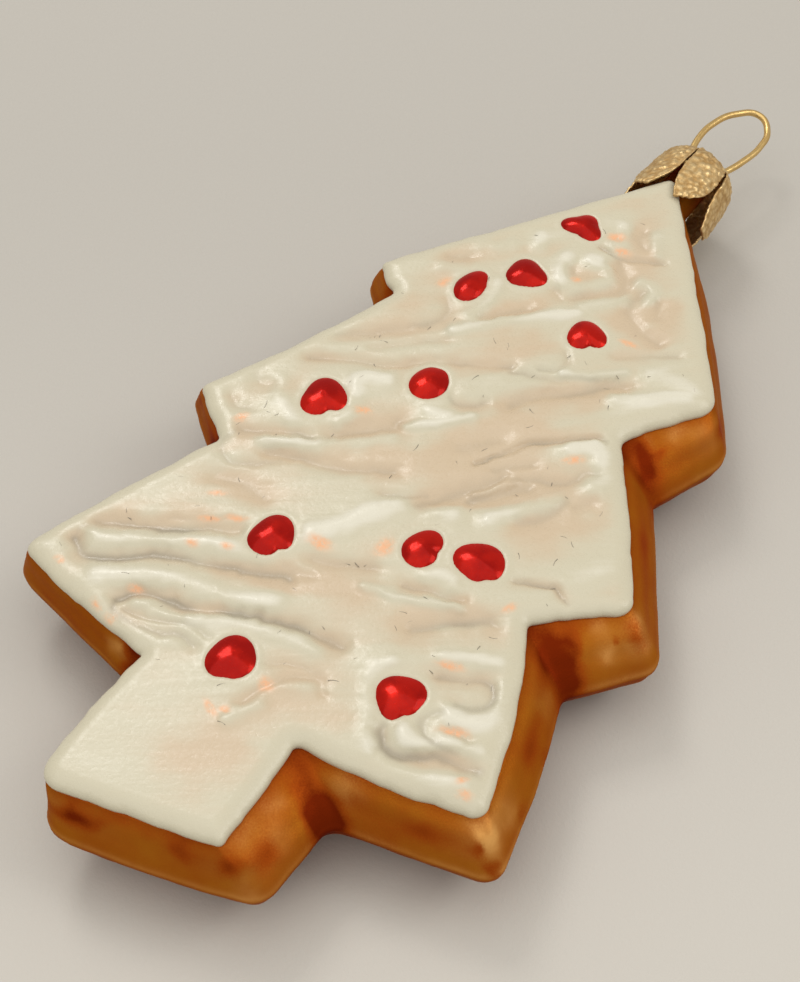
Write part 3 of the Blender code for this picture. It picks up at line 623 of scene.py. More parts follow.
def triangulate(points, edges, rim_count):
    """Triangles over points in plan, along the edges and inside the rim that comes first."""
    places = [Vector(point) for point in points]
    rim = list(range(rim_count))
    _, _, faces, sources, _, _ = delaunay_2d_cdt(places, edges, [rim], 1, 1e-7)
    return [[sources[i][0] for i in face] for face in faces]


def fill_face(rims, inner):
    """Triangles over the points of closed rims, outermost first, and the points inside them."""
    count = len(rims[0])
    points = [point for rim in rims for point in rim] + list(inner)
    edges = [edge for number in range(len(rims)) for edge in ring_edges(number * count, count)]
    return triangulate(points, edges, count)


# Node helpers

def feed(tree, node, inputs):
    """Link or set inputs of a node."""
    for key, value in inputs.items():
        if isinstance(value, bpy.types.NodeSocket):
            tree.links.new(value, node.inputs[key])
        else:
            node.inputs[key].default_value = value


def add_node(tree, kind, inputs=None, **settings):
    made = tree.nodes.new(kind)
    for name, value in settings.items():
        setattr(made, name, value)
    feed(tree, made, inputs or {})
    return made


def maths(tree, operation, first, second=0.0, clamp=False):
    inputs = {0: first, 1: second}
    made = add_node(tree, "ShaderNodeMath", inputs, operation=operation, use_clamp=clamp)
    return made.outputs[0]


def scaled(tree, value, factor):
    return maths(tree, "MULTIPLY", value, factor)


def centred(tree, value, factor):
    """A value from 0 to 1 moved to lie round zero, then scaled."""
    return scaled(tree, maths(tree, "SUBTRACT", value, 0.5), factor)


def mix_colours(tree, share, first, second):
    inputs = {0: share, 6: first, 7: second}
    return add_node(tree, "ShaderNodeMix", inputs, data_type="RGBA").outputs[2]


def spread(tree, value, low, high, to_low=0.0, to_high=1.0):
    inputs = {0: value, 1: low, 2: high, 3: to_low, 4: to_high}
    return add_node(tree, "ShaderNodeMapRange", inputs, interpolation_type="SMOOTHSTEP").outputs[0]


def noise_node(tree, vector, scale, detail=2.0, roughness=0.5):
    inputs = {"Vector": vector, "Scale": scale, "Detail": detail, "Roughness": roughness}
    return add_node(tree, "ShaderNodeTexNoise", inputs).outputs[0]


def rgba(colour):
    return (*colour, 1.0)


def millimetres(tree):
    """Object coordinates in millimetres, so that a pattern's scale reads as its size."""
    place = add_node(tree, "ShaderNodeTexCoord").outputs["Object"]
    inputs = {"Vector": place, "Scale": (1 / MM, 1 / MM, 1 / MM)}
    return add_node(tree, "ShaderNodeMapping", inputs).outputs[0]


def mask(tree, name):
    return add_node(tree, "ShaderNodeAttribute", attribute_name=name).outputs["Fac"]


def new_group(name, inputs, outputs, kind="ShaderNodeTree"):
    """A node group with named sockets, its entry and its exit."""
    group = bpy.data.node_groups.new(name, kind)
    for label, socket_type, default in inputs:
        made = group.interface.new_socket(label, in_out="INPUT", socket_type=socket_type)
        if default is not None:
            made.default_value = default
    for label, socket_type in outputs:
        group.interface.new_socket(label, in_out="OUTPUT", socket_type=socket_type)
    entry = group.nodes.new("NodeGroupInput")
    leaving = group.nodes.new("NodeGroupOutput")
    return group, entry, leaving


def new_shape_tree(name, numbers):
    """A geometry node tree that takes a mesh and named numbers, and gives a mesh."""
    inputs = [("Geometry", "NodeSocketGeometry", None)]
    inputs += [(label, kind, None) for label, kind in numbers.items()]
    return new_group(name, inputs, [("Geometry", "NodeSocketGeometry")], "GeometryNodeTree")


def place_group(tree, group, inputs):
    return add_node(tree, "ShaderNodeGroup", inputs, node_tree=group)


def mottling_group():
    """Soft uneven patches of lacquer or enamel."""
    name = "Mottling"
    if name in bpy.data.node_groups:
        return bpy.data.node_groups[name]
    group, entry, leaving = new_group(
        name,
        [("Vector", "NodeSocketVector", None), ("Patches per mm", "NodeSocketFloat", 0.2),
         ("Softness", "NodeSocketFloat", 0.2)],
        [("Amount", "NodeSocketFloat"), ("Fine", "NodeSocketFloat")],
    )
    vector, per_mm, softness = entry.outputs[:3]
    patches = noise_node(group, vector, per_mm, 3.0, 0.55)
    low = maths(group, "SUBTRACT", 0.5, softness)
    high = maths(group, "ADD", 0.5, softness)
    fine = noise_node(group, vector, scaled(group, per_mm, 9.0), 3.0, 0.6)
    feed(group, leaving, {"Amount": spread(group, patches, low, high), "Fine": fine})
    return group


def bristle_group():
    """Lines that a brush leaves, running at an angle across the tree's plan."""
    name = "Bristle lines"
    if name in bpy.data.node_groups:
        return bpy.data.node_groups[name]
    group, entry, leaving = new_group(
        name,
        [("Vector", "NodeSocketVector", None), ("Lines per mm", "NodeSocketFloat", 1.5),
         ("Angle", "NodeSocketVector", (0.0, 0.0, 0.0))],
        [("Height", "NodeSocketFloat")],
    )
    vector, per_mm, angle = entry.outputs[:3]
    turned = add_node(group, "ShaderNodeMapping", {"Vector": vector, "Rotation": angle})
    stretch = {"Vector": turned.outputs[0], "Scale": BRISTLE_STRETCH}
    stretched = add_node(group, "ShaderNodeMapping", stretch)
    lines = noise_node(group, stretched.outputs[0], per_mm, 3.0, 0.6)
    feed(group, leaving, {"Height": lines})
    return group


def gilding_group():
    """Gilt metal that is duller and rougher in its hollows and where it has worn."""
    name = "Gilding"
    if name in bpy.data.node_groups:
        return bpy.data.node_groups[name]
    group, entry, leaving = new_group(
        name,
        [("Vector", "NodeSocketVector", None), ("Grains per mm", "NodeSocketFloat", 1.6),
         ("Hollow", "NodeSocketFloat", 0.0), ("Gold", "NodeSocketColor", None),
         ("Dull gold", "NodeSocketColor", None)],
        [("Color", "NodeSocketColor"), ("Roughness", "NodeSocketFloat"),
         ("Height", "NodeSocketFloat")],
    )
    vector, per_mm, hollow, gold, dull_gold = entry.outputs[:5]
    grain = noise_node(group, vector, per_mm, 4.0, 0.62)
    wear = spread(group, noise_node(group, vector, 0.45, 2.0, 0.5), 0.35, 0.8, 0.0, 0.5)
    dulling = maths(group, "ADD", hollow, wear, clamp=True)
    worn = maths(group, "MULTIPLY", dulling, spread(group, grain, 0.3, 0.6, 0.55, 1.0), clamp=True)
    rough = spread(group, maths(group, "ADD", worn, grain), 0.2, 1.6, 0.3, 0.58)
    colour = mix_colours(group, worn, gold, dull_gold)
    feed(group, leaving, {"Color": colour, "Roughness": rough, "Height": grain})
    return group


def new_material(name):
    material = bpy.data.materials.new(name)
    material.use_nodes = True
    return material, material.node_tree, material.node_tree.nodes["Principled BSDF"]


def set_bump(tree, shader, height, distance):
    """Relief from a height of 0 to 1 that stands for that distance in metres."""
    bump = add_node(tree, "ShaderNodeBump", {"Height": height, "Distance": distance,
                                             "Strength": 1.0})
    feed(tree, shader, {"Normal": bump.outputs[0]})


def mottling(tree, place, per_mm, softness):
    inputs = {"Vector": place, "Patches per mm": per_mm, "Softness": softness}
    return place_group(tree, mottling_group(), inputs)


def bristle_lines(tree, place, per_mm, degrees):
    inputs = {"Vector": place, "Lines per mm": per_mm, "Angle": (0.0, 0.0, math.radians(degrees))}
    return place_group(tree, bristle_group(), inputs).outputs["Height"]


# Materials

def baked_lacquer(settings):
    """Satin brown lacquer over silvered glass: light brown where the coat is thinner, dark red
    where it pooled. The light brown also paints highlights on the seam, corners and shoulders,
    and the dark red and brown also paint shade in the notches, at the foot, under the icing's
    edge and on the shoulders that face up.
    """
    material, tree, shader = new_material("Baked lacquer")
    place = millimetres(tree)
    wide = mottling(tree, place, 0.16, 0.16)
    small = mottling(tree, place, 0.6, 0.25)
    rust_and_shade = rgba(settings.rust_and_shade)
    toasted = mix_colours(tree, scaled(tree, wide.outputs["Amount"], 0.45),
                          rgba(settings.golden), rust_and_shade)
    thinned = spread(tree, small.outputs["Amount"], 0.0, 1.0, 0.7, 1.0)
    # Paler with the pale mask: a thinner coat and painted highlights
    highlight_and_caramel_share = maths(tree, "MULTIPLY", mask(tree, "caramel_and_highlight"), thinned, clamp=True)
    pale = mix_colours(tree, highlight_and_caramel_share, toasted, rgba(settings.caramel_and_highlight))
    # Redder, then darkest, with the dark mask: burnt-looking marks and painted shade
    burn_and_shade = maths(tree, "ADD", mask(tree, "burn_and_shade"), centred(tree, small.outputs["Fine"], 0.35))
    darkened_colour = mix_colours(tree, spread(tree, burn_and_shade, 0.1, 0.6), pale, rust_and_shade)
    darkest_colour = mix_colours(tree, spread(tree, burn_and_shade, 0.45, 1.1), darkened_colour, rgba(settings.burnt_and_shade))
    feed(tree, shader, {
        "Base Color": darkest_colour,
        "Roughness": spread(tree, small.outputs["Fine"], 0.3, 0.7, 0.34, 0.44),
        "Metallic": 0.4,
        "Specular IOR Level": 0.01,
        "Specular Tint": (0.62, 0.25, 0.06, 1.0),
    })
    brushed = scaled(tree, bristle_lines(tree, place, 0.9, 15.0), 0.6)
    set_bump(tree, shader, maths(tree, "ADD", small.outputs["Fine"], brushed), 0.00002)
    return material


def icing_enamel(settings):
    """Satin cream enamel, brushed on: beige where the icing is thinner, and greyish painted shade
    and beige painted shade in the brush marks. The ridges and streaks are whiter: painted
    highlight on thicker icing.
    """
    material, tree, shader = new_material("Icing enamel")
    place = millimetres(tree)
    patches = mottling(tree, place, 0.22, 0.2)
    fine = patches.outputs["Fine"]
    lines = spread(tree, bristle_lines(tree, place, 1.7, -BRUSH_ANGLE), 0.3, 0.7)
    thinness_shade_and_highlight = maths(tree, "ADD", mask(tree, "thinness_shade_and_highlight"), centred(tree, lines, 0.1))
    thinness_shade_and_highlight = maths(tree, "ADD", thinness_shade_and_highlight, scaled(tree, patches.outputs["Amount"], 0.12))
    # White where the mask falls below zero: painted highlight on thicker icing
    thick = mix_colours(tree, spread(tree, thinness_shade_and_highlight, -0.6, 0.05), rgba(settings.white_and_highlight),
                        rgba(settings.cream))
    body = mix_colours(tree, spread(tree, thinness_shade_and_highlight, 0.0, 1.0), thick, rgba(settings.beige))
    shaded = mix_colours(tree, mask(tree, "grey"), body, rgba(settings.grey))
    dabs = maths(tree, "MULTIPLY", mask(tree, "peach"), spread(tree, fine, 0.3, 0.6, 0.3, 1.0),
                 clamp=True)
    feed(tree, shader, {
        "Base Color": mix_colours(tree, dabs, shaded, rgba(settings.peach)),
        "Roughness": spread(tree, fine, 0.3, 0.7, 0.24, 0.36),
        "Specular IOR Level": 0.5,
    })
    set_bump(tree, shader, maths(tree, "ADD", scaled(tree, lines, 0.15), fine), 0.00003)
    return material


def red_enamel(settings):
    """Glossy red drops, deeper where the enamel is thicker."""
    material, tree, shader = new_material("Red enamel")
    pools = mottling(tree, millimetres(tree), 0.32, 0.14)
    share = scaled(tree, pools.outputs["Amount"], 0.75)
    feed(tree, shader, {
        "Base Color": mix_colours(tree, share, rgba(settings.red), rgba(settings.deep_red)),
        "Roughness": spread(tree, pools.outputs["Fine"], 0.3, 0.7, 0.16, 0.28),
        "Metallic": 0.4,
        "Specular IOR Level": 0.1,
        "Specular Tint": (1.0, 0.25, 0.15, 1.0),
        "Coat Weight": 0.1,
        "Coat Roughness": 0.05,
    })
    return material


def gilt(name, settings, grains, relief, hollow=None):
    """Gilt metal for the cap and the wire, each with its own grain."""
    material, tree, shader = new_material(name)
    inputs = {"Vector": millimetres(tree), "Grains per mm": grains, "Gold": rgba(settings.gold),
              "Dull gold": rgba(settings.dull_gold)}
    if hollow:
        inputs["Hollow"] = mask(tree, hollow)
    colour, roughness, height = place_group(tree, gilding_group(), inputs).outputs[:3]
    feed(tree, shader, {"Base Color": colour, "Roughness": roughness, "Metallic": 1.0})
    set_bump(tree, shader, height, relief)
    return material


def hair_grey(settings):
    """Fine grey hairs caught in the enamel."""
    material, tree, shader = new_material("Caught hair")
    tone = noise_node(tree, millimetres(tree), 1.3, 2.0)
    lighter = tuple(min(1.0, 2.2 * part) for part in settings.hair_colour)
    colour = mix_colours(tree, spread(tree, tone, 0.35, 0.65), rgba(settings.hair_colour),
                         rgba(lighter))
    feed(tree, shader, {"Base Color": colour,
                        "Roughness": spread(tree, tone, 0.3, 0.7, 0.45, 0.65)})
    return material


def pale_sheet(settings):
    """Plain pale board with the faintest tooth, that falls off into shade behind."""
    material, tree, shader = new_material("Pale board")
    place = millimetres(tree)
    tooth = noise_node(tree, place, 2.2, 3.0, 0.6)
    turned = add_node(tree, "ShaderNodeMapping",
                      {"Vector": place, "Rotation": (0.0, 0.0, FLOOR_SHADE_TURN)})
    depth = add_node(tree, "ShaderNodeSeparateXYZ", {0: turned.outputs[0]}).outputs["Y"]
    darker = tuple(0.8 * part for part in settings.floor_colour)
    colour = mix_colours(tree, spread(tree, depth, *FLOOR_SHADE_DEPTHS),
                         rgba(settings.floor_colour), rgba(darker))
    feed(tree, shader, {"Base Color": colour, "Roughness": 0.7})
    set_bump(tree, shader, tooth, 0.00004)
    return material


# Glass

def wall_profile():
    """Levels up the wall, with the distance in and the share of the way out at each."""
    rows = []
    for level, distance in smooth_route(LOWER_WALL, RINGS_PER_SPAN):
        rows.append((level, max(distance, 0.0), 1.0))
    for level, share in smooth_route(UPPER_WALL, RINGS_PER_SPAN):
        rows.append((level, 0.0, min(max(share, 0.0), 1.0)))
    return rows


def wall_outline(distance, share):
    if share < 1.0:
        return rounded(blend(ICING_OUTLINE, WIDE_OUTLINE, share))
    return rounded(inset(WIDE_OUTLINE, distance))


def glass_ring(level, distance, share, settings):
    """The wall's outline at a level, with the seam's bead and the blown glass's unevenness."""
    seam = settings.seam_height / MM
    wobble = settings.wobble / MM
    outline = wall_outline(distance, share)
    bead = seam * math.exp(-((level - SEAM_Z) / SEAM_REACH) ** 2)
    uneven = np.array([
        noise.noise(Vector((x, y, 1.7 * level)) * 0.22)
        + 0.4 * noise.noise(Vector((x, y, level)) * 0.7) for x, y in outline
    ])
    fade = max(min(level / 2.0, (EDGE_Z - 0.3 - level) / 2.0, 1.0), 0.0)
    move = (bead - seam + wobble * (0.7 * uneven - 0.7)) * fade
    moved = outline + outward_normals(outline) * move[:, None]
    return np.column_stack([moved, np.full(len(moved), level)])


def join_neck(glass):
    """Join the neck that the cap sits on to the glass."""
    bm = bmesh.new()
    bmesh.ops.create_cone(bm, cap_ends=True, segments=48, radius1=NECK_R * MM,
                          radius2=NECK_R * MM, depth=(NECK_END_Y - NECK_START_Y) * MM)
    middle = Vector(to_frame([0.0, (NECK_START_Y + NECK_END_Y) / 2, NECK_Z]))
    turn = Matrix.Translation(middle) @ Matrix.Rotation(math.pi / 2, 4, "X")
    bmesh.ops.transform(bm, matrix=turn, verts=bm.verts)
    mesh = bpy.data.meshes.new("neck_guide")
    bm.to_mesh(mesh)
    bm.free()
    neck = show("neck_guide", mesh)
    join = glass.modifiers.new("Neck", "BOOLEAN")
    join.operation = "UNION"
    join.object = neck
    return neck


def make_glass(settings):
    """The painted glass: a lofted wall with a mould seam, a flat back and a neck."""
    rings = [glass_ring(*row, settings) for row in wall_profile()]
    count = len(rings[0])
    wall = np.vstack(rings)
    faces = ring_faces(0, count, len(rings))
    rim = rings[0][:, :2]
    backs, _ = grid_inside(rim, BACK_SPACING, 0.9)
    for face in fill_face([rim], backs):
        faces.append([i if i < count else i - count + len(wall) for i in face][::-1])
    faces.append([len(wall) - count + i for i in range(count)])
    points = np.vstack([wall, np.column_stack([backs, np.zeros(len(backs))])])
    mesh = new_mesh("cookie_glass", points, faces)
    burn_and_shade, caramel_and_highlight = paint_wall(points)
    # Painted shade on the flared shoulders, which slope out and face up
    flare = np.linalg.norm(wall_outline(0.0, 1.0) - wall_outline(0.0, 0.0), axis=1)
    shoulder_shade = np.clip((flare - 2.0) / 5.0, 0.0, 1.0)
    burn_and_shade[:len(wall)] += 0.22 * np.tile(shoulder_shade, len(rings))
    store_mask(mesh, "burn_and_shade", burn_and_shade)
    store_mask(mesh, "caramel_and_highlight", caramel_and_highlight)
    glass = show("glass_draft", mesh, baked_lacquer(settings))
    neck = join_neck(glass)
    settle(glass, "cookie_glass", "baked_lacquer", "cookie_body")
    bpy.data.objects.remove(neck)


def mark_strength(points, marks):
    """Sum of soft round marks at each point."""
    total = np.zeros(len(points))
    for *middle, radius, strength in marks:
        gap = np.linalg.norm(points - middle, axis=1)
        total += strength * np.exp(-(gap / radius) ** 2)
    return total


def notch_strength(x, y, z):
    """How near each point is to the corner line of a notch between two tiers."""
    total = np.zeros(len(x))
    share = np.clip((EDGE_Z - z) / 4.3, 0.0, 1.0)
    for index in NOTCHES:
        inner_x, inner_y = ICING_OUTLINE[index][:2]
        outer_x, outer_y = WIDE_OUTLINE[index][:2]
        gap = np.hypot(x - inner_x - (outer_x - inner_x) * share,
                       y - inner_y - (outer_y - inner_y) * share)
        total += np.exp(-(gap / NOTCH_DARKENING_REACH) ** 2)
    return total


def tip_strength(x, y):
    """How near each point is to a corner that stands out."""
    nearest = np.zeros(len(x))
    for index, (corner_x, corner_y, _, _) in enumerate(WIDE_OUTLINE):
        if index not in NOTCHES:
            gap = np.hypot(x - corner_x, y - corner_y)
            nearest = np.maximum(nearest, np.exp(-(gap / TIP_PALE_REACH) ** 2))
    return nearest


def band(levels, middle, reach):
    """A soft band round the wall at a level."""
    return np.exp(-((levels - middle) / reach) ** 2)


def paint_wall(points):
    """How dark and how pale the lacquer is at each point of the glass. The dark mask holds
    scorched marks and painted shade, the pale mask a thinner coat and painted highlights.
    """
    x, y, z = points.T
    # Painted shade just under the icing's edge, at the foot where the wall curves under, and in a band
    # under the seam's bead; a mottled darker band round the upper wall
    top_edge = np.clip((z - 11.0) / 0.7, 0.0, 1.0)
    foot = np.clip((5.4 - z) / 3.0, 0.0, 1.0)
    upper_dark_band = band(z, 10.0, 0.9) * lattice_noise(x * 0.3 + 3, y * 0.3, 16)
    burn_and_shade = 0.3 * top_edge + 0.8 * foot + 0.4 * band(z, SEAM_Z - 1.0, 0.45) + 0.6 * upper_dark_band
    # Darker in each notch: redder lacquer with painted shade in the concave corner
    burn_and_shade += 0.65 * notch_strength(x, y, z) * np.clip((z - 2.0) / 4.0, 0.2, 1.0)
    warped = points + 0.6 * np.column_stack([
        lattice_noise(0.7 * x, 0.7 * y + z, 13), lattice_noise(0.7 * x + z, 0.7 * y, 14),
        lattice_noise(0.7 * x + 5, 0.7 * y, 15)])
    # The dark marks: burnt-looking blotches, painted shade in the notches and a painted shadow under
    # the cap
    burn_and_shade += 0.9 * np.minimum(mark_strength(warped, BURNT_AND_SHADOW_MARKS), 1.0)
    burn_and_shade *= 0.85 + 0.3 * lattice_noise(x * 0.5 + 20, y * 0.5 + z * 0.5, 3)
    tips = tip_strength(x, y)
    patchy = 0.65 + 0.35 * lattice_noise(x * 0.25 + 9, y * 0.25, 5)
    # Pale: a thinner coat with painted highlights on the seam's bead, on the shoulders at the corners
    # and at the pale marks
    caramel_and_highlight = band(z, SEAM_Z + 0.2, 0.45) * (0.3 + 0.25 * tips) + band(z, 10.2, 1.1) * 0.3 * tips
    caramel_and_highlight = caramel_and_highlight * patchy + 0.8 * mark_strength(warped, PALE_MARKS)
    caramel_and_highlight *= np.clip(1.0 - 0.8 * burn_and_shade, 0.0, 1.0)
    return np.clip(burn_and_shade, 0.0, 1.2), np.clip(caramel_and_highlight, 0.0, 1.0)


# Icing

def candy_radius(shape, angle):
    """Distance from a candy's middle to its outline in each direction."""
    _, _, width, length, turn, triangle, notch_turn, notch_depth = shape
    oval = 1.0 / np.sqrt((np.cos(angle) / (width / 2)) ** 2 + (np.sin(angle) / (length / 2)) ** 2)
    lobes = 1.0 + triangle * np.sin(3 * (angle - math.radians(turn)) + math.pi)
    away = np.angle(np.exp(1j * (angle - math.radians(notch_turn))))
    return oval * lobes * (1.0 - notch_depth * np.exp(-(away / NOTCH_SPREAD) ** 2))


def oval_share(points, middle_x, middle_y, half_length, half_width, turn, scale=1.0):
    """How far inside a soft oval each point lies, from 1 in its middle."""
    cos, sin = math.cos(math.radians(turn)), math.sin(math.radians(turn))
    x = points[:, 0] - middle_x
    y = points[:, 1] - middle_y
    along = (x * cos + y * sin) / (scale * half_length)
    across = (y * cos - x * sin) / (scale * half_width)
    return np.exp(-(along ** 2 + across ** 2) ** 1.5)


def brush_places(points):
    """Places along and across the brush's direction, which steepens towards the tip."""
    x, y = points.T
    turn = np.radians(27.0 + 0.2 * y)
    along = x * np.cos(turn) + y * np.sin(turn)
    across = y * np.cos(turn) - x * np.sin(turn)
    across = across + 0.9 * lattice_noise(along / 9.0 + 31, across / 9.0, 21)
    return along, across


def near_route(points, route, width):
    """The points near a brush mark, and how many widths each lies from its middle."""
    line = smooth_route(route, ROUTE_STEPS) + FACE_SHIFT
    near = np.flatnonzero(np.all((points > line.min(axis=0) - 3 * width)
                                 & (points < line.max(axis=0) + 3 * width), axis=1))
    return near, line_distance(points[near], line) / width


def brush_marks(points):
    """Grooves, the wider valleys they lie in, crests, and the grey painted shade in the grooves."""
    groove, valley, crest, grey = np.zeros((4, len(points)))
    for width, depth, greyness, route in GROOVES:
        near, gap = near_route(points, route, width)
        core = depth / FULL_GROOVE * np.exp(-(gap / 0.5) ** 2)
        groove[near] = np.maximum(groove[near], depth * np.exp(-gap ** 2))
        valley[near] = np.maximum(valley[near], depth * np.exp(-(gap / 2.1) ** 2))
        # The grey core of a groove is painted shade
        grey[near] = np.maximum(grey[near], (0.25 + 0.75 * greyness) * core)
    for width, rise, route in CRESTS:
        near, gap = near_route(points, route, width)
        crest[near] = np.maximum(crest[near], rise * np.exp(-(gap / 1.3) ** 2))
    return groove, valley, crest, grey


def seat_candies(points, height, thinness_shade_and_highlight, grey, peach):
    """Level the icing round each candy, with a lip, and hollow and clean it under them."""
    for shape in CANDIES:
        x = points[:, 0] - shape[0]
        y = points[:, 1] - shape[1]
        beyond = np.hypot(x, y) - candy_radius(shape, np.arctan2(y, x))
        lip = np.exp(-((beyond - 0.3) / 0.35) ** 2)
        under = np.clip(-beyond / 0.3, 0.0, 1.0)
        close = np.exp(-(np.clip(beyond, 0.0, None) / 0.9) ** 2)
        height += 0.7 * close * (CANDY_SEAT - height) + 0.06 * lip - 0.3 * under
        thinness_shade_and_highlight *= 1.0 - 0.9 * close
        grey *= 1.0 - 0.8 * close
        peach *= 1.0 - close


def icing_surface(points, distance_in, relief):
    """Height of the icing above its edge at each point, and its masks of paint, painted shade and
    painted highlight.
    """
    x, y = points.T
    ragged = points + 0.16 * np.column_stack([
        lattice_noise(x * 1.1, y * 1.1, 11), lattice_noise(x * 1.1, y * 1.1, 12)])
    groove, valley, crest, grey = brush_marks(ragged)
    along, across = brush_places(points)
    broad = lattice_noise(along / 13.0, across / 2.6, 31)
    middle = lattice_noise(along / 8.0 + 7, across / 1.3, 32)
    inner = np.clip(distance_in / 2.6, 0.0, 1.0)
    trunk = np.clip((18.0 - y) / 5.0, 0.0, 1.0)
    flow = (0.13 * broad + 0.07 * middle) * (1.0 - 0.75 * trunk)
    height = np.interp(distance_in, *np.array(ICING_LIP[TUCKED_RINGS:]).T)
    height += inner * (relief * (crest - 0.75 * groove - 0.25 * valley) + flow)

    fickle = lattice_noise(along / 5.0, across / 3.0, 42)
    # Beige in grooves and valleys: thinner icing with painted shade in these hollows
    thinness_shade_and_highlight = (0.3 * groove + (0.5 + 0.3 * fickle) * valley) / FULL_GROOVE
    thinness_shade_and_highlight += 0.3 * np.clip(0.3 - broad, 0.0, 1.0) + 0.12 * np.clip(-middle, 0.0, 1.0)
    for *oval, strength in THIN_PATCHES:
        thinness_shade_and_highlight += 1.15 * strength * oval_share(ragged, *oval, PATCH_SPREAD) ** 0.6
    thinness_shade_and_highlight *= 0.85 + 0.3 * lattice_noise(x * 0.45, y * 0.45, 41)
    # Whiter on crests and bright streaks: painted highlight on thicker icing
    thinness_shade_and_highlight -= 0.85 * crest / FULL_CREST + 0.35 * np.clip(middle, 0.0, 1.0)
    thinness_shade_and_highlight *= np.clip((distance_in - 0.5) / 1.6, 0.0, 1.0)
    grey *= 0.65 + 0.5 * lattice_noise(along / 3.0, across / 3.0, 43)
    peach = np.zeros(len(points))
    for dab in PEACH_DABS:
        peach = np.maximum(peach, oval_share(ragged, *dab))
    seat_candies(points, height, thinness_shade_and_highlight, grey, peach)
    brush = inner * (1.0 - 0.85 * trunk)
    return height, np.clip(thinness_shade_and_highlight, -0.6, 1.0), np.clip(0.95 * grey, 0.0, 0.75), peach, brush


def ridge_tree(material):
    """Geometry nodes that raise fine bristle ridges on the icing."""
    tree, entry, leaving = new_shape_tree("Bristle ridges", {
        "Ridge height": "NodeSocketFloat", "Ridge spacing": "NodeSocketFloat",
        "Angle": "NodeSocketFloat",
    })
    place = add_node(tree, "GeometryNodeInputPosition").outputs[0]
    turn_inputs = {"Vector": place, "Axis": (0.0, 0.0, 1.0), "Angle": entry.outputs["Angle"]}
    turned = add_node(tree, "ShaderNodeVectorRotate", turn_inputs, rotation_type="AXIS_ANGLE")
    stretched = add_node(tree, "ShaderNodeVectorMath", {0: turned.outputs[0], 1: RIDGE_STRETCH},
                         operation="MULTIPLY")
    pitch = maths(tree, "DIVIDE", 1.0, entry.outputs["Ridge spacing"])
    ridges = noise_node(tree, stretched.outputs[0], pitch, 2.0, 0.55)
    brush = add_node(tree, "GeometryNodeInputNamedAttribute", {"Name": "brush"})
    raised = maths(tree, "MULTIPLY", maths(tree, "MULTIPLY", centred(tree, ridges, 2.0),
                                           brush.outputs[0]), entry.outputs["Ridge height"])
    lift = add_node(tree, "ShaderNodeCombineXYZ", {"Z": raised})
    moved = add_node(tree, "GeometryNodeSetPosition", {"Geometry": entry.outputs["Geometry"],
                                                       "Offset": lift.outputs[0]})
    end_tree(tree, moved.outputs[0], material, leaving)
    return tree


def end_tree(tree, geometry, material, leaving):
    """Make instances real and give the result its material."""
    realized = add_node(tree, "GeometryNodeRealizeInstances", {0: geometry})
    painted = add_node(tree, "GeometryNodeSetMaterial", {"Geometry": realized.outputs[0],
                                                         "Material": material})
    feed(tree, leaving, {0: painted.outputs[0]})


def use_tree(obj, tree, values):
    """Put a geometry node tree on an object and set its named inputs."""
    modifier = obj.modifiers.new(tree.name, "NODES")
    modifier.node_group = tree
    for item in tree.interface.items_tree:
        if item.item_type == "SOCKET" and item.in_out == "INPUT" and item.name in values:
            modifier[item.identifier] = values[item.name]


def icing_rims():
    """Closed lines round the icing, from the one tucked furthest under its lip inwards."""
    outline = rounded(ICING_OUTLINE)
    steps = np.cumsum(np.linalg.norm(np.diff(outline, axis=0, prepend=outline[-1:]), axis=1))
    edge_wave = 0.12 * lattice_noise(steps / 2.6, steps * 0.0, 51)
    edge_wave += 0.06 * lattice_noise(steps / 0.9, steps * 0.0, 52)
    wave = outward_normals(outline) * edge_wave[:, None]
    rims = []
    for distance, _ in ICING_LIP:
        share = np.clip((0.75 - distance) / 0.8, 0.0, 1.0)
        rims.append(rounded(inset(ICING_OUTLINE, distance)) + wave * share)
    return rims


def make_icing(settings):
    """The brushed enamel: rims round the edge, then a fine grid that carries the relief."""
    rims = icing_rims()
    count = len(rims[0])
    face_rims = rims[TUCKED_RINGS:]
    spacing = settings.point_spacing / MM
    inner, inner_distance = grid_inside(rims[-1], spacing, 0.7 * spacing)
    flat = np.vstack(face_rims + [inner])
    rim_distances = np.repeat([distance for distance, _ in ICING_LIP[TUCKED_RINGS:]], count)
    distance_in = np.concatenate([rim_distances, inner_distance + ICING_LIP[-1][0]])
    height, *masks = icing_surface(flat, distance_in, settings.relief / MM)
    top = np.column_stack([flat, EDGE_Z + height])
    skirt = np.vstack([
        np.column_stack([ring, np.full(count, EDGE_Z + level)])
        for ring, (_, level) in zip(rims, ICING_LIP[:TUCKED_RINGS])
    ])
    faces = [[len(skirt) + i for i in face] for face in fill_face(face_rims, inner)]
    faces += ring_faces(0, count, TUCKED_RINGS + 1)
    faces.append(list(range(count))[::-1])
    mesh = new_mesh("icing_skin", np.vstack([skirt, top]), faces)
    plain = np.zeros(len(skirt))
    for name, values in zip(("thinness_shade_and_highlight", "grey", "peach", "brush"), masks):
        store_mask(mesh, name, np.concatenate([plain, values]))
    material = icing_enamel(settings)
    draft = show("icing_draft", mesh, material)
    use_tree(draft, ridge_tree(material), {
        "Ridge height": settings.ridge_height, "Ridge spacing": settings.ridge_spacing,
        "Angle": math.radians(-BRUSH_ANGLE),
    })
    return settle(draft, "icing_skin", "icing_enamel", "icing")


def random_float(tree, low, high, seed):
    """A random number for each instance, always the same for one seed."""
    inputs = {2: low, 3: high, "Seed": seed}
    made = add_node(tree, "FunctionNodeRandomValue", inputs, data_type="FLOAT")
    return made.outputs[1]


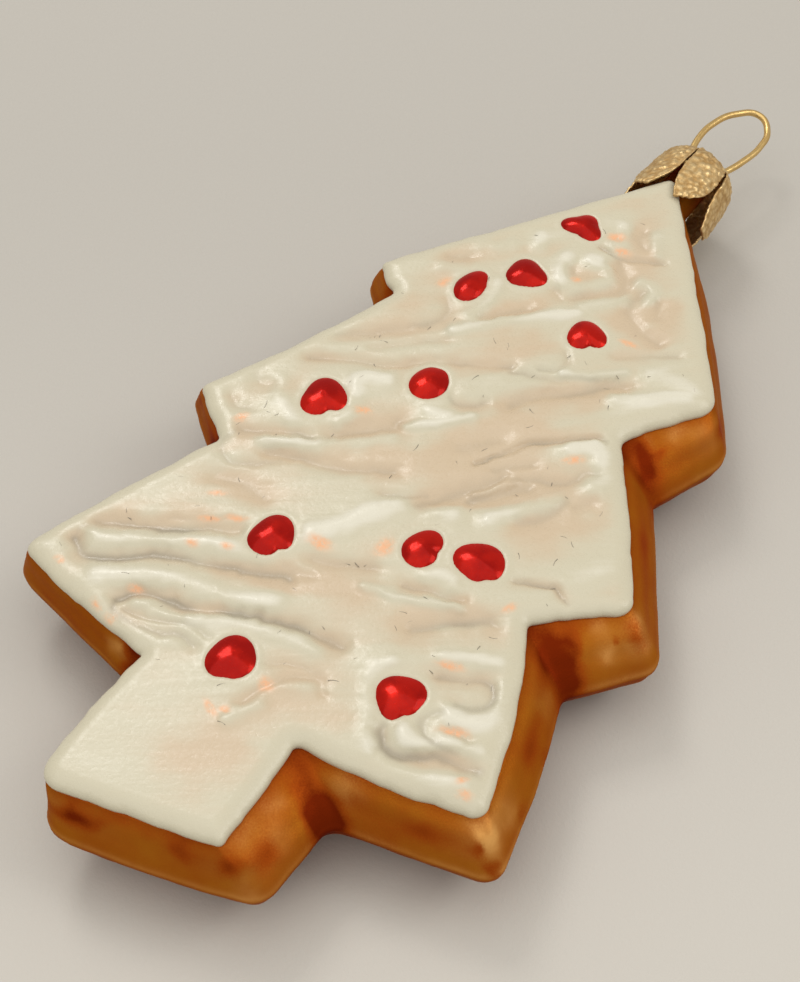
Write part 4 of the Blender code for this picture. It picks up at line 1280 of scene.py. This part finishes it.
def swept(tree, route, section):
    """A section swept along a route, with closed ends."""
    inputs = {"Curve": route, "Profile Curve": section, "Fill Caps": True}
    return add_node(tree, "GeometryNodeCurveToMesh", inputs).outputs[0]


def hair_tree(material):
    """Geometry nodes that scatter fine short hairs over the icing."""
    tree, entry, leaving = new_shape_tree("Caught hairs", {
        "Density": "NodeSocketFloat", "Hair length": "NodeSocketFloat",
        "Seed": "NodeSocketInt",
    })
    brush = add_node(tree, "GeometryNodeInputNamedAttribute", {"Name": "brush"})
    inner = add_node(tree, "FunctionNodeCompare", {0: brush.outputs[0], 1: 0.3},
                     operation="GREATER_THAN")
    inputs = {"Mesh": entry.outputs["Geometry"], "Selection": inner.outputs[0],
              "Density": entry.outputs["Density"], "Seed": entry.outputs["Seed"]}
    scattered = add_node(tree, "GeometryNodeDistributePointsOnFaces", inputs)
    half = scaled(tree, entry.outputs["Hair length"], 0.5)
    start = add_node(tree, "ShaderNodeCombineXYZ", {"X": scaled(tree, half, -1.0)})
    middle = add_node(tree, "ShaderNodeCombineXYZ", {"Y": scaled(tree, half, 0.3)})
    end = add_node(tree, "ShaderNodeCombineXYZ", {"X": half})
    bent = add_node(tree, "GeometryNodeCurveQuadraticBezier",
                    {"Resolution": 4, "Start": start.outputs[0], "Middle": middle.outputs[0],
                     "End": end.outputs[0]})
    section = add_node(tree, "GeometryNodeCurvePrimitiveCircle",
                       {"Resolution": 4, "Radius": HAIR_RADIUS * MM})
    spun = add_node(tree, "ShaderNodeCombineXYZ", {"Z": random_float(tree, 0.0, math.tau, 3)})
    inputs = {"Points": scattered.outputs[0],
              "Instance": swept(tree, bent.outputs[0], section.outputs[0]),
              "Rotation": spun.outputs[0], "Scale": random_float(tree, 0.5, 1.25, 4)}
    placed = add_node(tree, "GeometryNodeInstanceOnPoints", inputs)
    end_tree(tree, placed.outputs[0], material, leaving)
    return tree


def make_hairs(icing, settings):
    """The hairs, scattered over the icing's finished mesh."""
    area = sum(polygon.area for polygon in icing.data.polygons)
    draft = show("hair_draft", icing.data.copy())
    use_tree(draft, hair_tree(hair_grey(settings)), {
        "Density": 1.6 * settings.hair_count / area, "Hair length": settings.hair_length,
        "Seed": settings.seed,
    })
    settle(draft, "icing_hairs", "icing_enamel")


# Candies

def make_candies(settings):
    """Smooth red drops with an uneven outline, each seated in the icing."""
    material = red_enamel(settings)
    rise = settings.height / MM
    angles = np.arange(CANDY_SIDES) * math.tau / CANDY_SIDES
    last = (CANDY_RINGS - 1) * CANDY_SIDES
    peak = CANDY_RINGS * CANDY_SIDES
    faces = ring_faces(0, CANDY_SIDES, CANDY_RINGS)
    faces += [(last + i, last + (i + 1) % CANDY_SIDES, peak) for i in range(CANDY_SIDES)]
    faces.append(list(range(CANDY_SIDES))[::-1])
    for number, shape in enumerate(CANDIES, start=1):
        outline = candy_radius(shape, angles)
        rows = []
        for ring in range(CANDY_RINGS):
            share = max(ring - 1, 0) / (CANDY_RINGS - 1)
            turn = 0.5 * math.pi * share ** 1.2
            radius = outline * math.cos(turn)
            x = shape[0] + radius * np.cos(angles)
            y = shape[1] + radius * np.sin(angles)
            dome = CANDY_FOOT + (rise - CANDY_FOOT) * math.sin(turn) ** 1.7 if ring else 0.0
            dent = 0.05 * share * lattice_noise(x * 0.5 + number, y * 0.5, 61)
            rows.append(np.column_stack([x, y, CANDY_BASE_Z + dome + dent]))
        top_x, top_y, _ = rows[-1].mean(axis=0)
        points = np.vstack(rows + [np.array([[top_x, top_y, CANDY_BASE_Z + rise]])])
        name = f"candy_{number:02d}"
        drop = show(name + "_draft", new_mesh(name, points, faces), material)
        settle(drop, "red_" + name, "red_lacquer", name)


# Cap and loop

def loop_point(across, y):
    return (LOOP_X + across * math.cos(LOOP_ROLL), y, NECK_Z + across * math.sin(LOOP_ROLL))


def crown_faces(rim, holes):
    """A flat disc of points and faces inside the crown's rim, open where the wire drops through."""
    points = [tuple(point) for point in rim]
    edges = ring_edges(0, len(rim))
    for hole in holes:
        edges += ring_edges(len(points), HOLE_SIDES)
        for step in range(HOLE_SIDES):
            angle = step * math.tau / HOLE_SIDES
            points.append((hole[0] + WIRE_HOLE_R * math.cos(angle),
                           hole[1] + WIRE_HOLE_R * math.sin(angle)))
    grid, _ = grid_inside(rim, 0.22, 0.15)
    points += [tuple(point) for point in grid
               if all(math.dist(point, hole) > WIRE_HOLE_R + 0.12 for hole in holes)]
    faces = triangulate(points, edges, len(rim))
    points = np.array(points)
    kept = [face for face in faces
            if all(math.dist(points[face].mean(axis=0), hole) > WIRE_HOLE_R for hole in holes)]
    return points, kept


def petal_row(petal, share, radius, y, width_share, tilt):
    """Points across a petal, at a share of the way from the crown to its end."""
    middle, half, flare, slant = PETALS[petal]
    ragged = 1.0 + 0.03 * noise.noise(Vector((petal * 7.0, 2.5 * y, 0.0)))
    points = []
    for i in range(PETAL_COLUMNS + 1):
        across = 2 * i / PETAL_COLUMNS - 1
        angle = math.radians(middle + across * ragged * half * width_share)
        reach = radius + flare * min(2.5 * share, 1.0) + SHEET_LIFT * min(6.0 * share, 1.0)
        reach += tilt * across * share
        points.append((reach * math.cos(angle),
                       y - slant * across * share ** 3 + SHEET_LIFT * (1 - share),
                       NECK_Z + reach * math.sin(angle)))
    return points


def make_cap(settings):
    """Thin embossed sheet: a round crown with a ring of petals folded back over the neck."""
    rows = smooth_route(PETAL_ROWS, STEPS_PER_ROW)
    around = len(PETALS) * PETAL_COLUMNS
    angles = np.radians([middle + half * (2 * i / PETAL_COLUMNS - 1)
                         for middle, half, *_ in PETALS for i in range(PETAL_COLUMNS)])
    rim = np.column_stack([CROWN_R * np.cos(angles), NECK_Z + CROWN_R * np.sin(angles)])
    holes = [(p[0], p[2]) for p in (loop_point(*LOOP_ROUTE[0]), loop_point(*LOOP_ROUTE[-1]))]
    flat, faces = crown_faces(rim, holes)
    points = [(x, CAP_TOP_Y + SHEET_LIFT, z) for x, z in flat]
    rng = np.random.default_rng(71)
    for petal in range(len(PETALS)):
        start = petal * PETAL_COLUMNS
        last = [(start + i) % around for i in range(PETAL_COLUMNS + 1)]
        tilt = rng.uniform(-0.06, 0.06)
        for step, (radius, y, width_share) in enumerate(rows[1:], start=1):
            row = list(range(len(points), len(points) + PETAL_COLUMNS + 1))
            points += petal_row(petal, step / (len(rows) - 1), radius, y, width_share, tilt)
            faces += [(last[i], last[i + 1], row[i + 1], row[i]) for i in range(PETAL_COLUMNS)]
            last = row
    mesh = new_mesh("cap_sheet", np.array(points), faces)
    emboss(mesh, settings)
    draft = show("cap_draft", mesh, gilt("Embossed gilt", settings, 1.7, 0.00007, "hollow"))
    thick = draft.modifiers.new("Sheet", "SOLIDIFY")
    thick.thickness = settings.sheet
    thick.offset = -1.0
    settle(draft, "gilt_cap", "gold_cap", "cap")


def emboss(mesh, settings):
    """Push grains out of the sheet and mark the hollows between them."""
    count = len(mesh.vertices)
    middle = Vector(to_frame([0.0, CAP_TOP_Y - 6.0, NECK_Z]))
    outwards = [vertex.normal.copy() for vertex in mesh.vertices]
    facing = sum(n.dot(v.co - middle) for n, v in zip(outwards, mesh.vertices))
    if facing < 0:
        mesh.flip_normals()
        outwards = [-n for n in outwards]
    hollow = np.zeros(count)
    for index, vertex in enumerate(mesh.vertices):
        distances, _ = noise.voronoi(vertex.co / settings.grain_size)
        dome = max(0.0, 1.0 - distances[0] / 0.62)
        crease = min((distances[1] - distances[0]) / 0.3, 1.0)
        level = 0.6 * dome + 0.4 * crease
        level += 0.35 * noise.noise(vertex.co / (0.45 * settings.grain_size))
        hollow[index] = min(max(0.85 - level, 0.0), 1.0)
        vertex.co += outwards[index] * settings.grain_height * (level - 0.9)
    store_mask(mesh, "hollow", hollow)


def wire_tree(material):
    """Geometry nodes that sweep a round wire along the loop's route."""
    tree, entry, leaving = new_shape_tree("Swept wire", {"Wire radius": "NodeSocketFloat"})
    route = add_node(tree, "GeometryNodeMeshToCurve", {0: entry.outputs["Geometry"]})
    bezier = add_node(tree, "GeometryNodeCurveSplineType", {0: route.outputs[0]},
                      spline_type="BEZIER")
    eased = add_node(tree, "GeometryNodeCurveSetHandles", {0: bezier.outputs[0]},
                     handle_type="AUTO", mode={"LEFT", "RIGHT"})
    fine = add_node(tree, "GeometryNodeSetSplineResolution", {0: eased.outputs[0],
                                                              "Resolution": 20})
    section = add_node(tree, "GeometryNodeCurvePrimitiveCircle",
                       {"Resolution": 24, "Radius": entry.outputs["Wire radius"]})
    wire = swept(tree, fine.outputs[0], section.outputs[0])
    smooth = add_node(tree, "GeometryNodeSetShadeSmooth", {"Geometry": wire, "Shade Smooth": True})
    end_tree(tree, smooth.outputs[0], material, leaving)
    return tree


def make_loop(settings):
    """The wire that the ornament hangs by."""
    route = to_frame([loop_point(*place) for place in LOOP_ROUTE])
    mesh = bpy.data.meshes.new("loop_route")
    mesh.from_pydata(route.tolist(), [(i, i + 1) for i in range(len(route) - 1)], [])
    draft = show("loop_draft", mesh)
    material = gilt("Drawn gilt wire", settings, 2.4, 0.00003)
    use_tree(draft, wire_tree(material), {"Wire radius": settings.diameter / 2})
    settle(draft, "gilt_wire", "gold_wire", "hanging_loop")


# Stage

CAMERA_PLACE = (0.068058, -0.115093, 0.171353)
CAMERA_AZIMUTH = math.radians(34.698)
CAMERA_ELEVATION = math.radians(52.5)
FLOOR_HALF = 1.5
FLOOR_SHADE_TURN = math.radians(-35.0)
FLOOR_SHADE_DEPTHS = (-90.0, 60.0)
TOP_LIGHT = (1.0, 0.99, 0.97)
WARM_LIGHT = (1.0, 0.98, 0.95)
SURROUND_LIGHT = (1.0, 0.97, 0.93, 1.0)


def make_camera(settings):
    data = bpy.data.cameras.new("photo_camera")
    data.lens = settings.lens
    data.sensor_width = 36.0
    data.clip_start = 0.005
    camera = bpy.data.objects.new("photo_camera", data)
    bpy.context.scene.collection.objects.link(camera)
    tilt = Matrix.Rotation(math.pi / 2 - CAMERA_ELEVATION, 4, "X")
    turn = Matrix.Rotation(CAMERA_AZIMUTH, 4, "Z")
    camera.matrix_world = Matrix.Translation(CAMERA_PLACE) @ turn @ tilt
    bpy.context.scene.camera = camera


def add_softbox(name, place, size, power, colour):
    """A square light that faces the ornament."""
    data = bpy.data.lights.new(name, "AREA")
    data.size = size
    data.energy = power
    data.color = colour
    light = bpy.data.objects.new(name, data)
    bpy.context.scene.collection.objects.link(light)
    aim = (-Vector(place)).to_track_quat("-Z", "Y").to_matrix().to_4x4()
    light.matrix_world = Matrix.Translation(place) @ aim


def make_stage(settings):
    """Camera, plain pale floor and soft studio light."""
    scene = bpy.context.scene
    scene.view_settings.view_transform = "Standard"
    make_camera(settings)
    corners = [(-FLOOR_HALF, -FLOOR_HALF, 0.0), (FLOOR_HALF, -FLOOR_HALF, 0.0),
               (FLOOR_HALF, FLOOR_HALF, 0.0), (-FLOOR_HALF, FLOOR_HALF, 0.0)]
    mesh = bpy.data.meshes.new("floor")
    mesh.from_pydata(corners, [], [(0, 1, 2, 3)])
    show("floor", mesh, pale_sheet(settings))
    add_softbox("top_softbox", (0.0, -0.2, 1.1), 1.6, settings.top_power, TOP_LIGHT)
    add_softbox("key_softbox", (0.4, 0.26, 0.44), 0.3, settings.key_power, WARM_LIGHT)
    add_softbox("window", (-0.36, 0.2, 0.5), 0.2, settings.window_power, WARM_LIGHT)
    world = bpy.data.worlds.new("surround")
    world.use_nodes = True
    background = world.node_tree.nodes["Background"]
    feed(world.node_tree, background, {"Color": SURROUND_LIGHT, "Strength": settings.surround})
    scene.world = world


# Operators and panel

class ORNAMENT_OT_stage(bpy.types.Operator):
    """Add the camera, floor and lights"""

    bl_idname = "ornament.stage"
    bl_label = "Stage"

    def execute(self, context):
        make_stage(context.scene.ornament.stage)
        return {"FINISHED"}


class ORNAMENT_OT_glass(bpy.types.Operator):
    """Build the painted glass with its seam and neck"""

    bl_idname = "ornament.glass"
    bl_label = "Painted glass"

    def execute(self, context):
        make_glass(context.scene.ornament.glass)
        return {"FINISHED"}


class ORNAMENT_OT_icing(bpy.types.Operator):
    """Build the brushed icing and the hairs caught in it"""

    bl_idname = "ornament.icing"
    bl_label = "Icing"

    def execute(self, context):
        settings = context.scene.ornament.icing
        icing = make_icing(settings)
        make_hairs(icing, settings)
        return {"FINISHED"}


class ORNAMENT_OT_candies(bpy.types.Operator):
    """Build the red candies"""

    bl_idname = "ornament.candies"
    bl_label = "Candies"

    def execute(self, context):
        make_candies(context.scene.ornament.candies)
        return {"FINISHED"}


class ORNAMENT_OT_cap(bpy.types.Operator):
    """Build the embossed gilt cap"""

    bl_idname = "ornament.cap"
    bl_label = "Cap"

    def execute(self, context):
        make_cap(context.scene.ornament.cap)
        return {"FINISHED"}


class ORNAMENT_OT_loop(bpy.types.Operator):
    """Build the gilt hanging loop"""

    bl_idname = "ornament.loop"
    bl_label = "Hanging loop"

    def execute(self, context):
        make_loop(context.scene.ornament.loop)
        return {"FINISHED"}


class ORNAMENT_PT_panel(bpy.types.Panel):
    """Lists the ornament's pieces with their sizes and colours"""

    bl_label = "Iced cookie ornament"
    bl_idname = "ORNAMENT_PT_panel"
    bl_space_type = "VIEW_3D"
    bl_region_type = "UI"
    bl_category = "Ornament"

    def draw(self, context):
        ornament = context.scene.ornament
        for piece in ("stage", "glass", "icing", "candies", "cap", "loop"):
            box = self.layout.box()
            box.operator(f"ornament.{piece}")
            settings = getattr(ornament, piece)
            for name in settings.__annotations__:
                box.prop(settings, name)


CLASSES = (
    GlassSettings, IcingSettings, CandySettings, CapSettings, LoopSettings, StageSettings,
    OrnamentSettings, ORNAMENT_OT_stage, ORNAMENT_OT_glass, ORNAMENT_OT_icing,
    ORNAMENT_OT_candies, ORNAMENT_OT_cap, ORNAMENT_OT_loop, ORNAMENT_PT_panel,
)


def register():
    for item in CLASSES:
        bpy.utils.register_class(item)
    bpy.types.Scene.ornament = PointerProperty(type=OrnamentSettings)


def unregister():
    del bpy.types.Scene.ornament
    for item in reversed(CLASSES):
        bpy.utils.unregister_class(item)


def main():
    register()
    bpy.ops.ornament.stage()
    bpy.ops.ornament.glass()
    bpy.ops.ornament.icing()
    bpy.ops.ornament.candies()
    bpy.ops.ornament.cap()
    bpy.ops.ornament.loop()


if __name__ == "__main__":
    main()
